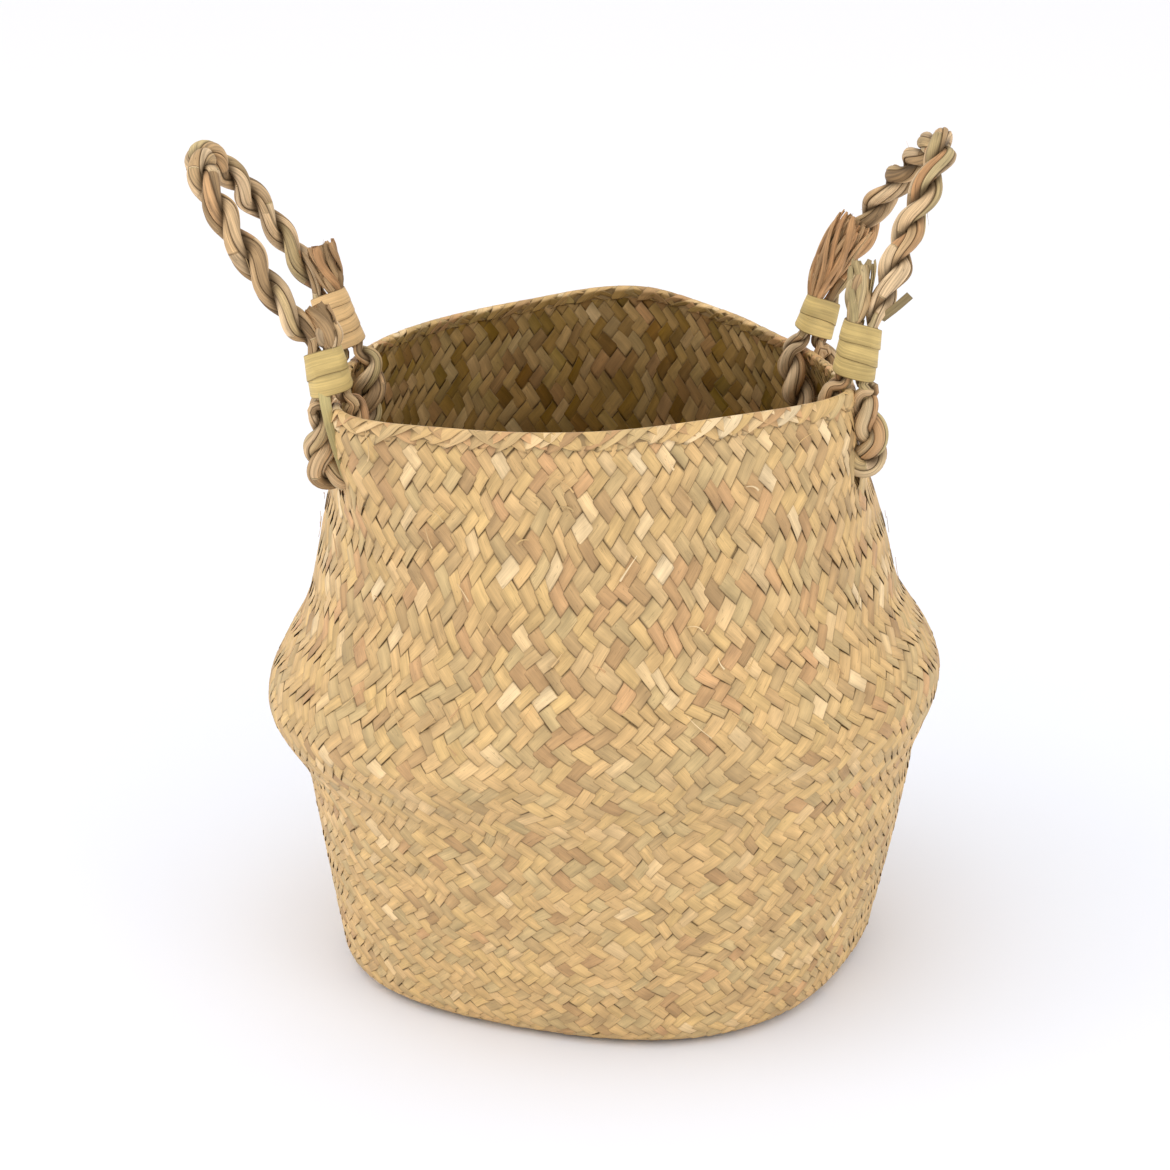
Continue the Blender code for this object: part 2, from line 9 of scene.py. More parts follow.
import bpy
import numpy as np
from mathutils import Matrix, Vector


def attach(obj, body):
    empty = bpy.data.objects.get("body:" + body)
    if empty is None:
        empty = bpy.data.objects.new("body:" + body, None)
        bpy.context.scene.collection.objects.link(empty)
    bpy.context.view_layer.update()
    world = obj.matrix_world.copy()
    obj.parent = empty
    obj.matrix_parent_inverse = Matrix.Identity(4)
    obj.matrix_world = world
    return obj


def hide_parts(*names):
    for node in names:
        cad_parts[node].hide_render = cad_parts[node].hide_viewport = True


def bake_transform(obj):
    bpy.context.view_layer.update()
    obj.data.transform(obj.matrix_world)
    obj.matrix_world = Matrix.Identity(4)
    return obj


bl_info = {
    "name": "Belly basket",
    "version": (1, 0, 0),
    "blender": (4, 5, 0),
    "location": "3D View > Sidebar > Basket",
    "description": "Plaits a seagrass belly basket with rope handles round its packed model",
    "category": "Object",
}

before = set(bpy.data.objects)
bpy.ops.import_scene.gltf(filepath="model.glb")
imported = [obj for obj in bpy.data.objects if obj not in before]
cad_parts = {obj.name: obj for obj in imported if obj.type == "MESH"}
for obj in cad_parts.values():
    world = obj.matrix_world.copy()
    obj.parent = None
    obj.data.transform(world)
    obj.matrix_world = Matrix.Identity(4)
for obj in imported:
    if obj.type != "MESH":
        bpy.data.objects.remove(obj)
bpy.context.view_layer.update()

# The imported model's own outline, which every strip follows
WALL = 0.003
BASE_RADIUS = 0.125
TURN_RADIUS = 0.013
ROOT_HEIGHT = 0.095
ROOT_RADIUS = 0.1405
BELLY_HEIGHT = 0.132
BELLY_RADIUS = 0.155
NECK_HEIGHT = 0.180
NECK_RADIUS = 0.1335
RIM_HEIGHT = 0.281
RIM_RADIUS = 0.112
BASE_SLOPE_SHARE = 1.2
ROOT_SLOPE_SHARE = 0.85
EDGE_TALL = 0.0066
EDGE_WIDE = 0.0050
BASE_CORNERS = 4
BASE_CORNER_SHARE = 0.04
BASE_CORNER_ANGLE = math.radians(24)
BASE_SHIFT = 0.0035
BASE_FADE_SHARE = 0.33
BELLY_TILT_SHARE = 0.04
BELLY_SADDLE = 0.009
BELLY_REACH = 0.050
MOUTH_SHARES = (
    (-90, 1.000, -0.004), (-62, 1.050, 0.012), (-32, 1.090, 0.007), (0, 0.920, -0.014),
    (35, 0.940, -0.025), (60, 0.990, -0.005), (82, 1.010, 0.020), (112, 0.965, 0.004),
    (148, 1.005, -0.011), (180, 1.030, -0.014), (197, 1.080, -0.014), (214, 1.200, -0.014),
    (238, 1.100, -0.007),
)
FLAT_START = 0.104
# How steeply the strips climb, as rise over run, by height
STRIP_SLOPES = ((0.0, 0.76), (0.10, 0.78), (0.132, 0.86), (0.150, 1.0), (0.190, 1.42),
                (0.225, 1.6), (0.250, 1.48), (0.281, 1.32))
PROFILE_STEPS = 24

# The ropes' sizes and routes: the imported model's, except that each loop outside the wall lies
# closer to it, by its swell
ROPE_RADIUS = 0.0055
BOW_RADIUS = 0.0070
TIED_RADIUS = 0.0038
RIM_ROPE_RADIUS = 0.0049
SWELL_LENGTH = 0.020
LEG_SWELL_LENGTH = 0.022
ROPE_GAP = 0.0006
SEAM_GAP = 0.0003
HOLE_DROP = 0.034
TIE_THICK = 0.0009
TIE_SLACK = 0.0004
TIE_LEAD_IN = 0.0025
TIE_ROUND_SHARE = 0.35
LOOP_RADIUS = 0.009
BEND_POINTS = 4
PATH_PIECES = 12
UP = Vector((0, 0, 1))
LEFT_BOW_SHARES = (
    (-1.06, 0.09), (-1.06, 0.22), (-1.00, 0.38), (-0.92, 0.52), (-0.80, 0.66), (-0.63, 0.80),
    (-0.38, 0.92), (-0.05, 1.00), (0.32, 0.985), (0.64, 0.92), (0.93, 0.80), (1.10, 0.66),
    (1.20, 0.50), (1.24, 0.34), (1.17, 0.17),
)
RIGHT_BOW_SHARES = (
    (-0.97, 0.09), (-0.88, 0.22), (-0.66, 0.38), (-0.50, 0.54), (-0.42, 0.70), (-0.34, 0.84),
    (-0.22, 0.955), (0.00, 1.00), (0.26, 0.955), (0.56, 0.86), (0.87, 0.72), (1.10, 0.55),
    (1.19, 0.37), (1.10, 0.18),
)
LEGS = {
    "left_front": {"angle": 207.5, "standoff": 0.0055, "tie": 0.0205, "turns": 2, "tone": 0.85,
                   "lean_share": 0.20, "swell": -0.0022},
    "left_back": {"angle": 173.5, "standoff": 0.0060, "tie": 0.0265, "turns": 4, "tone": 0.70,
                  "lean_share": 0.36, "swell": -0.0010},
    "right_front": {"angle": -25.5, "standoff": 0.0050, "tie": 0.0245, "turns": 3, "tone": 0.50,
                    "lean_share": 0.16, "swell": -0.0030},
    "right_back": {"angle": 24.5, "standoff": 0.0070, "tie": 0.0175, "turns": 2, "tone": 0.50,
                   "lean_share": 0.33, "swell": -0.0010},
}
BOWS = {
    "left": (0.0815, math.radians(35), LEFT_BOW_SHARES),
    "right": (0.0792, math.radians(27), RIGHT_BOW_SHARES),
}

# The lens that every flat strip has for a section: across in half widths, and through in
# half thicknesses, once round
LENS = np.array(((-1.0, 0.0), (-0.90, 0.8), (0.0, 1.0), (0.90, 0.8), (1.0, 0.0), (0.90, -0.8),
                 (0.0, -1.0), (-0.90, -0.8)))
LENS_ACROSS, LENS_THROUGH = LENS.T
# Where across is less than this, the edge lies under the next strip; and how steeply the painted
# shade along both edges fades
UNDER_EDGE = -0.5
EDGE_FADE = 20
# Faces that meet more sharply than this keep a hard edge
SHARP = math.radians(24)
# The ranges that random phases are drawn from
ANY_PHASE = 6.28
MOST_PHASES = 6
# Where each kind of piece's random numbers start
SEEDS = {"wander": 41, "splinters": 77, "wall": 100, "mat": 300, "edge": 500, "ropes": 20,
         "hairs": 60, "ties": 70, "ends": 94, "hanging": 9, "standing": 5}


# ------------------------------------------------------------------ settings

class BasketPlait(bpy.types.PropertyGroup):
    strips: bpy.props.IntProperty(
        name="Strips", description="How many strips run each way round the wall", default=118,
        min=40, max=200)
    thickness: bpy.props.FloatProperty(
        name="Strip thickness", description="How thick one strip is", default=0.00036,
        unit="LENGTH", precision=5)
    crown: bpy.props.FloatProperty(
        name="Crown", description="How far a strip swells along its middle", default=0.00004,
        unit="LENGTH", precision=5)
    relief: bpy.props.FloatProperty(
        name="Relief", description="How far a strip rises over the ones it crosses",
        default=0.00056, unit="LENGTH", precision=5)
    lap: bpy.props.FloatProperty(
        name="Lap", description="How far one edge of a strip lifts over the next strip",
        default=0.00020, unit="LENGTH", precision=5)
    fill: bpy.props.FloatProperty(
        name="Fill", description="Strip width as a share of its pitch", default=1.20,
        min=0.5, max=1.5, subtype="FACTOR")
    wander: bpy.props.FloatProperty(
        name="Wander", description="How far the strips wander from even rows, in pitches",
        default=0.35, min=0, max=2)
    mat_pitch: bpy.props.FloatProperty(
        name="Mat pitch", description="From strip to strip in the flat mat of the base",
        default=0.0050, unit="LENGTH", precision=4)


class BasketRope(bpy.types.PropertyGroup):
    lay: bpy.props.FloatProperty(
        name="Lay", description="Length in which a strand goes once round its rope",
        default=0.039, unit="LENGTH", precision=4)
    leg_lay: bpy.props.FloatProperty(
        name="Leg lay", description="The same between a binding and the wall",
        default=0.027, unit="LENGTH", precision=4)
    blades: bpy.props.IntProperty(
        name="Blades", description="How many blades lie round one strand", default=4,
        min=3, max=9)
    crease: bpy.props.FloatProperty(
        name="Crease", description="How deep the blades' creases are, as a share of the strand",
        default=0.19, min=0, max=0.4, subtype="FACTOR")
    hairs: bpy.props.IntProperty(
        name="Loose hairs", description="How many loose fibres stand off each rope",
        default=18, min=0, max=300)


class BasketColours(bpy.types.PropertyGroup):
    tan: bpy.props.FloatVectorProperty(
        name="Tan", description="The plait's main colour", subtype="COLOR", size=3,
        default=(0.655, 0.420, 0.183))
    beige: bpy.props.FloatVectorProperty(
        name="Beige", description="The plait's palest strips", subtype="COLOR", size=3,
        default=(0.765, 0.534, 0.268))
    cream: bpy.props.FloatVectorProperty(
        name="Cream", description="The plait's few palest floats", subtype="COLOR", size=3,
        default=(0.860, 0.658, 0.390))
    honey: bpy.props.FloatVectorProperty(
        name="Honey", description="The plait's yellow strips", subtype="COLOR", size=3,
        default=(0.672, 0.446, 0.184))
    sage: bpy.props.FloatVectorProperty(
        name="Sage", description="The plait's greenish grey strips", subtype="COLOR", size=3,
        default=(0.578, 0.412, 0.192))
    rose: bpy.props.FloatVectorProperty(
        name="Rose", description="The plait's pinkish strips", subtype="COLOR", size=3,
        default=(0.645, 0.374, 0.172))
    brown: bpy.props.FloatVectorProperty(
        name="Brown", description="The plait's duller strips", subtype="COLOR", size=3,
        default=(0.500, 0.302, 0.134))
    rust: bpy.props.FloatVectorProperty(
        name="Rust", description="The reddish brown of a few folds of the rim",
        subtype="COLOR", size=3, default=(0.330, 0.165, 0.080))
    # Painted shade: the colour that slits, creases, dips and the strands' middles are darkened
    # towards
    shade: bpy.props.FloatVectorProperty(
        name="Shade", description="The colour deep in the slits", subtype="COLOR", size=3,
        default=(0.080, 0.045, 0.016))
    rope: bpy.props.FloatVectorProperty(
        name="Rope", description="The ropes' main brown", subtype="COLOR", size=3,
        default=(0.548, 0.356, 0.178))
    rope_red: bpy.props.FloatVectorProperty(
        name="Rope red", description="The ropes' reddish blades", subtype="COLOR", size=3,
        default=(0.512, 0.268, 0.115))
    rope_dark: bpy.props.FloatVectorProperty(
        name="Dark rope", description="The ropes' darkest blades", subtype="COLOR", size=3,
        default=(0.250, 0.154, 0.070))
    rope_olive: bpy.props.FloatVectorProperty(
        name="Rope olive", description="The ropes' olive blades", subtype="COLOR", size=3,
        default=(0.440, 0.340, 0.160))
    tie: bpy.props.FloatVectorProperty(
        name="Binding", description="The yellow-green bindings", subtype="COLOR", size=3,
        default=(0.600, 0.436, 0.163))
    tie_pale: bpy.props.FloatVectorProperty(
        name="Pale binding", description="The beige binding", subtype="COLOR", size=3,
        default=(0.715, 0.466, 0.212))
    rope_pale: bpy.props.FloatVectorProperty(
        name="Pale rope", description="The ropes' palest blades", subtype="COLOR", size=3,
        default=(0.718, 0.518, 0.306))
    leaf: bpy.props.FloatVectorProperty(
        name="Leaf", description="The binding's loose end", subtype="COLOR", size=3,
        default=(0.500, 0.410, 0.175))
    # The floor's colours make up for the light: painted darker near the basket, where the lamps
    # light it, and paler further off, so that the floor shows evenly bright
    floor: bpy.props.FloatVectorProperty(
        name="Floor", description="The pale floor", subtype="COLOR", size=3,
        default=(0.880, 0.898, 0.960))
    far_floor: bpy.props.FloatVectorProperty(
        name="Far floor", description="The floor's colour further off", subtype="COLOR", size=3,
        default=(0.966, 0.960, 0.985))


# ------------------------------------------------------------------ the wall's surface

def ease(share):
    """Rises smoothly from 0 to 1 as share does."""
    share = np.clip(share, 0.0, 1.0)
    return share * share * (3 - 2 * share)


def drawn(rng, spread, power=1):
    """A random value: spread has the least, and how much more it can be."""
    return spread[0] + spread[1] * rng.random() ** power


def hermite(share, start, end, start_slope, end_slope):
    """A cubic from start to end, with the slopes given per whole span."""
    cube, square = share ** 3, share ** 2
    return ((2 * cube - 3 * square + 1) * start + (cube - 2 * square + share) * start_slope
            + (3 * square - 2 * cube) * end + (cube - square) * end_slope)


def profile_points():
    """Outer radii and heights of the wall, from under the base to the rim."""
    points = [(FLAT_START + (BASE_RADIUS - TURN_RADIUS - FLAT_START) * step / PROFILE_STEPS, 0.0)
              for step in range(PROFILE_STEPS)]
    for step in range(PROFILE_STEPS):
        turn = math.pi / 2 * step / PROFILE_STEPS
        points.append((BASE_RADIUS - TURN_RADIUS + TURN_RADIUS * math.sin(turn),
                       TURN_RADIUS - TURN_RADIUS * math.cos(turn)))
    mean_slope = (ROOT_RADIUS - BASE_RADIUS) / (ROOT_HEIGHT - TURN_RADIUS)
    base_slope, root_slope = BASE_SLOPE_SHARE * mean_slope, ROOT_SLOPE_SHARE * mean_slope
    high_slope = (RIM_RADIUS - NECK_RADIUS) / (RIM_HEIGHT - NECK_HEIGHT)
    spans = (
        (TURN_RADIUS, BASE_RADIUS, base_slope, ROOT_HEIGHT, ROOT_RADIUS, root_slope),
        (ROOT_HEIGHT, ROOT_RADIUS, root_slope, BELLY_HEIGHT, BELLY_RADIUS, 0),
        (BELLY_HEIGHT, BELLY_RADIUS, 0, NECK_HEIGHT, NECK_RADIUS, high_slope),
        (NECK_HEIGHT, NECK_RADIUS, high_slope, RIM_HEIGHT, RIM_RADIUS, high_slope),
    )
    for low, low_radius, slope_in, high, high_radius, slope_out in spans:
        rise = high - low
        for step in range(PROFILE_STEPS):
            share = step / PROFILE_STEPS
            points.append((hermite(share, low_radius, high_radius, slope_in * rise,
                                   slope_out * rise), low + share * rise))
    points.append((RIM_RADIUS, RIM_HEIGHT))
    return np.array(points)


PROFILE = profile_points()
STEP_LENGTHS = np.hypot(*np.diff(PROFILE, axis=0).T)
ALONG = np.gradient(PROFILE, np.concatenate([[0], np.cumsum(STEP_LENGTHS)]), axis=0)
ALONG /= np.hypot(*ALONG.T)[:, None]
MEAN_RADII = (PROFILE[1:, 0] + PROFILE[:-1, 0]) / 2
STEEPNESS = np.interp((PROFILE[1:, 1] + PROFILE[:-1, 1]) / 2, *np.array(STRIP_SLOPES).T)
TURNS_UP = np.concatenate([[0], np.cumsum(STEP_LENGTHS / MEAN_RADII / STEEPNESS)])
TURNS_UP /= 2 * math.pi


def mouth_value(angle, column):
    """The mouth's share at each angle, on a smooth closed curve through its points."""
    turn = 2 * math.pi
    knots = np.radians([row[0] for row in MOUTH_SHARES])
    shares = np.array([row[column] for row in MOUTH_SHARES])
    angle = (angle - knots[0]) % turn + knots[0]
    x = np.concatenate([knots[-1:] - turn, knots, knots[:2] + turn])
    y = np.concatenate([shares[-1:], shares, shares[:2]])
    low = np.searchsorted(x, angle, side="right") - 1
    span = x[low + 1] - x[low]
    slope_in = (y[low + 1] - y[low - 1]) / (x[low + 1] - x[low - 1]) * span
    slope_out = (y[low + 2] - y[low]) / (x[low + 2] - x[low]) * span
    return hermite((angle - x[low]) / span, y[low], y[low + 1], slope_in, slope_out)


def place(angle, radius, height):
    """Points of the round wall, moved to where the hand-made basket has them."""
    near_base = ease((1 - height / BELLY_HEIGHT) / BASE_FADE_SHARE)
    base_share = np.maximum(1 - height / BELLY_HEIGHT, 0) ** 1.5
    near_rim = ease((height - NECK_HEIGHT) / (RIM_HEIGHT - NECK_HEIGHT))
    near_belly = np.exp(-((height - BELLY_HEIGHT) / BELLY_REACH) ** 2)
    corners = 1 + (BASE_CORNER_SHARE * base_share
                   * np.cos(BASE_CORNERS * (angle - BASE_CORNER_ANGLE)))
    mouth = 1 + near_rim ** 2 * (mouth_value(angle, 1) - 1)
    radius = radius * corners * mouth
    x = radius * np.cos(angle) + BASE_SHIFT * near_base
    y = radius * np.sin(angle)
    lift = near_rim * mouth_value(angle, 2) * RIM_HEIGHT
    lift = lift + near_belly * (BELLY_TILT_SHARE * x + BELLY_SADDLE * np.sin(angle) ** 2)
    return np.stack([x, y, height + lift * ease(height / TURN_RADIUS)], -1)


def wall_points(angle, climb, depth):
    """Points depth inside the outer face, climb being turns up along the wall's profile."""
    radius = np.interp(climb, TURNS_UP, PROFILE[:, 0])
    height = np.interp(climb, TURNS_UP, PROFILE[:, 1])
    run = np.interp(climb, TURNS_UP, ALONG[:, 0])
    rise = np.interp(climb, TURNS_UP, ALONG[:, 1])
    return place(angle, radius - depth * rise, height + depth * run)


def climb_at(height):
    """Turns up the profile at a height above the base's turn."""
    return float(np.interp(height, PROFILE[PROFILE_STEPS:, 1], TURNS_UP[PROFILE_STEPS:]))


def wall_middle(angle, height):
    """A point in the middle of the wall's thickness."""
    return Vector(wall_points(np.array([angle]), np.array([climb_at(height)]), WALL / 2)[0])


def edge_centre(angle):
    return wall_middle(angle, RIM_HEIGHT - EDGE_TALL / 2)


def rim_outward(angle):
    """The level direction straight out of the mouth's outline at an angle."""
    step = math.pi / 48
    along = edge_centre(angle + step) - edge_centre(angle - step)
    return along.cross(UP).normalized()


# ------------------------------------------------------------------ meshes

def tube_faces(tubes, rings, sides, closed=False):
    """Quads of tubes that have rings of sides points each; open ones get caps."""
    ring = np.arange(rings - (not closed))
    side = np.arange(sides)
    here = ring[:, None] * sides + side
    there = ((ring + 1) % rings)[:, None] * sides + side
    wrap = (side + 1) % sides
    quads = np.stack([here, ring[:, None] * sides + wrap,
                      ((ring + 1) % rings)[:, None] * sides + wrap, there], -1).reshape(-1, 4)
    if not closed:
        cap = np.array([(0, 2 * m - 1, 2 * m, 2 * m + 1) for m in range(1, sides // 2)])
        quads = np.concatenate([quads, cap[:, ::-1], cap + (rings - 1) * sides])
    starts = np.arange(tubes) * rings * sides
    return (starts[:, None, None] + quads).reshape(-1, 4)


def facing_out(points, quads):
    """The quads, turned over if together they enclose a negative volume."""
    corner = points[quads]
    volume = 0.0
    for second, third in ((1, 2), (2, 3)):
        volume += np.einsum("ij,ij->", corner[:, 0], np.cross(corner[:, second], corner[:, third]))
    return quads if volume > 0 else quads[:, ::-1]


def lens_rise(half_thickness, crown):
    """How far the points of a strip's section stand off its middle."""
    return half_thickness * LENS_THROUGH + crown * (1 - LENS_ACROSS ** 2)


def strip_facts(shape, tone, slit=0.0, inner=0.0, grain=(0.0, 0.0, 0.0)):
    """What a finish reads at each point: the strip's tone, how much painted shade darkens it in
    slits, creases and dips, how much painted shade it gets inside the basket, and where it is
    along and across the fibres."""
    facts = {"tone": tone, "slit": np.clip(slit, 0, 1), "inner": np.clip(inner, 0, 1)}
    facts = {fact: np.broadcast_to(values, shape) for fact, values in facts.items()}
    facts["grain"] = np.stack([np.broadcast_to(part, shape) for part in grain], -1)
    return facts


def add_mesh(name, form, finish):
    """A smooth mesh object from points, quads and facts, a value or vector for each point."""
    points, quads, facts = form
    points = np.ascontiguousarray(points.reshape(-1, 3), np.float32)
    quads = np.ascontiguousarray(facing_out(points.astype(float), quads), np.int32)
    mesh = bpy.data.meshes.new(name)
    mesh.vertices.add(len(points))
    mesh.vertices.foreach_set("co", points.ravel())
    mesh.loops.add(quads.size)
    mesh.loops.foreach_set("vertex_index", quads.ravel())
    mesh.polygons.add(len(quads))
    mesh.polygons.foreach_set("loop_start", np.arange(0, quads.size, 4, dtype=np.int32))
    mesh.update(calc_edges=True)
    for fact, values in facts.items():
        values = np.ascontiguousarray(values, np.float32)
        if values.size == len(points):
            mesh.attributes.new(fact, "FLOAT", "POINT").data.foreach_set("value", values.ravel())
        else:
            layer = mesh.attributes.new(fact, "FLOAT_VECTOR", "POINT")
            layer.data.foreach_set("vector", values.ravel())
    mesh.shade_smooth()
    mesh.set_sharp_from_angle(angle=SHARP)
    mesh.materials.append(finish)
    made = bpy.data.objects.new(name, mesh)
    bpy.context.scene.collection.objects.link(made)
    return made


def joined(parts):
    """Several forms, each points, quads and facts, as one."""
    points, quads, facts, start = [], [], {}, 0
    for part_points, part_quads, part_facts in parts:
        part_points = part_points.reshape(-1, 3)
        points.append(part_points)
        quads.append(facing_out(part_points, part_quads) + start)
        start += len(part_points)
        for fact, values in part_facts.items():
            values = np.asarray(values, float)
            width = values.size // len(part_points)
            facts.setdefault(fact, []).append(values.reshape(-1, width))
    return (np.concatenate(points), np.concatenate(quads),
            {fact: np.concatenate(values) for fact, values in facts.items()})


def replace_nodes(piece, *nodes):
    """Hides these nodes, which piece stands for; piece itself is not used."""
    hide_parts(*nodes)


# ------------------------------------------------------------------ finishes

def link(tree, source, target):
    tree.links.new(source, target)


def feed(tree, value, socket):
    """Links another node's output to socket, or sets it to a number or colour."""
    if isinstance(value, bpy.types.NodeSocket):
        link(tree, value, socket)
    elif isinstance(value, (int, float)):
        socket.default_value = value
    else:
        socket.default_value = (*value[:3], 1)


def math_node(tree, kind, first, second=None):
    made = tree.nodes.new("ShaderNodeMath")
    made.operation = kind
    for socket, value in zip(made.inputs, (first, second)):
        if value is not None:
            feed(tree, value, socket)
    return made.outputs[0]


def mix_node(tree, kind, amount, first, second):
    made = tree.nodes.new("ShaderNodeMix")
    made.data_type = "RGBA"
    made.blend_type = kind
    made.clamp_factor = True
    for name, value in (("Factor", amount), ("A", first), ("B", second)):
        feed(tree, value, [s for s in made.inputs if s.name == name and s.enabled][0])
    return [s for s in made.outputs if s.enabled][0]


def noise_node(tree, vector, scale, detail, roughness):
    made = tree.nodes.new("ShaderNodeTexNoise")
    made.inputs["Scale"].default_value = scale
    made.inputs["Detail"].default_value = detail
    made.inputs["Roughness"].default_value = roughness
    link(tree, vector, made.inputs["Vector"])
    return made.outputs["Fac"]


def range_node(tree, value, low, high, to_low=0.0, to_high=1.0):
    made = tree.nodes.new("ShaderNodeMapRange")
    for name, number in (("From Min", low), ("From Max", high), ("To Min", to_low),
                         ("To Max", to_high)):
        made.inputs[name].default_value = number
    link(tree, value, made.inputs["Value"])
    return made.outputs["Result"]


def new_group(name, inputs, outputs):
    """A node group with named sockets; returns it with its input and output nodes."""
    group = bpy.data.node_groups.new(name, "ShaderNodeTree")
    for label, kind, value in inputs:
        socket = group.interface.new_socket(name=label, in_out="INPUT", socket_type=kind)
        if value is not None:
            socket.default_value = value
    for label, kind in outputs:
        group.interface.new_socket(name=label, in_out="OUTPUT", socket_type=kind)
    return group, group.nodes.new("NodeGroupInput"), group.nodes.new("NodeGroupOutput")


def scaled_vector(tree, parts, scales):
    """A vector of three sockets, each times its scale."""
    made = tree.nodes.new("ShaderNodeCombineXYZ")
    for part, scale, socket in zip(parts, scales, made.inputs):
        link(tree, math_node(tree, "MULTIPLY", part, scale), socket)
    return made.outputs[0]


# How fast the fibres change from strip to strip, and the blotches across, along and from strip
# to strip
FIBRE_STRIP_SCALE = 37.0
BLOTCH_SCALES = (160.0, 75.0, 11.0)
# Each noise's scale, detail and roughness
STREAK_NOISE = (1.0, 3.0, 0.6)
FINE_NOISE = (3.1, 2.0, 0.55)
BLOTCH_NOISE = (1.0, 2.0, 0.5)
SPLIT_NOISE = (0.8, 1.0, 0.4)
# A split runs where its noise has this value, give or take
SPLIT_AT = 0.56
SPLIT_HALF = 0.012


def fibre_group():
    """Streaks that run along a blade of dried grass, from its grain coordinates."""
    name = "Dried fibre"
    if name in bpy.data.node_groups:
        return bpy.data.node_groups[name]
    group, given, put = new_group(
        name,
        [("Grain", "NodeSocketVector", None), ("Across", "NodeSocketFloat", 1500.0),
         ("Along", "NodeSocketFloat", 60.0)],
        [("Streak", "NodeSocketFloat"), ("Fine", "NodeSocketFloat"),
         ("Blotch", "NodeSocketFloat"), ("Split", "NodeSocketFloat")])
    parts = group.nodes.new("ShaderNodeSeparateXYZ")
    link(group, given.outputs["Grain"], parts.inputs[0])
    fibres = scaled_vector(group, parts.outputs, (
        given.outputs["Across"], given.outputs["Along"], FIBRE_STRIP_SCALE))
    blotches = scaled_vector(group, parts.outputs, BLOTCH_SCALES)
    ripple = noise_node(group, fibres, *SPLIT_NOISE)
    thin = math_node(group, "ABSOLUTE", math_node(group, "SUBTRACT", ripple, SPLIT_AT))
    for label, value in (("Streak", noise_node(group, fibres, *STREAK_NOISE)),
                         ("Fine", noise_node(group, fibres, *FINE_NOISE)),
                         ("Blotch", noise_node(group, blotches, *BLOTCH_NOISE)),
                         ("Split", range_node(group, thin, SPLIT_HALF, 0.0))):
        link(group, value, put.inputs[label])
    return group


def slit_group():
    """Painted shade: darkens a colour towards the shade colour where a strip dips under or a
    crease folds in, and tints it darker inside the basket.
    """
    name = "Slit shade"
    if name in bpy.data.node_groups:
        return bpy.data.node_groups[name]
    group, given, put = new_group(
        name,
        [("Colour", "NodeSocketColor", None), ("Slit", "NodeSocketFloat", 0.0),
         ("Inner", "NodeSocketFloat", 0.0), ("Shade", "NodeSocketColor", None),
         ("Inner shade", "NodeSocketColor", None), ("Depth", "NodeSocketFloat", 0.8)],
        [("Colour", "NodeSocketColor")])
    deep = math_node(group, "MULTIPLY", given.outputs["Slit"], given.outputs["Depth"])
    slit = mix_node(group, "MIX", deep, given.outputs["Colour"], given.outputs["Shade"])
    link(group, mix_node(group, "MULTIPLY", given.outputs["Inner"], slit,
                         given.outputs["Inner shade"]), put.inputs["Colour"])
    return group


def placed_group(tree, group, **values):
    made = tree.nodes.new("ShaderNodeGroup")
    made.node_tree = group
    for name, value in values.items():
        feed(tree, value, made.inputs[name.replace("_", " ")])
    return made


# The ranges of the noises that show, how far the fibres stand up, and the tint of the painted
# shade inside the basket
STREAK_RANGE = (0.28, 0.72)
BLOTCH_RANGE = (0.3, 0.7)
ROUGH_SPREAD = 0.1
FINE_SHARE = 0.5
FIBRE_RISE = 0.0004
GRASS_SHEEN = 0.35
INNER_SHADE = (0.40, 0.33, 0.045)


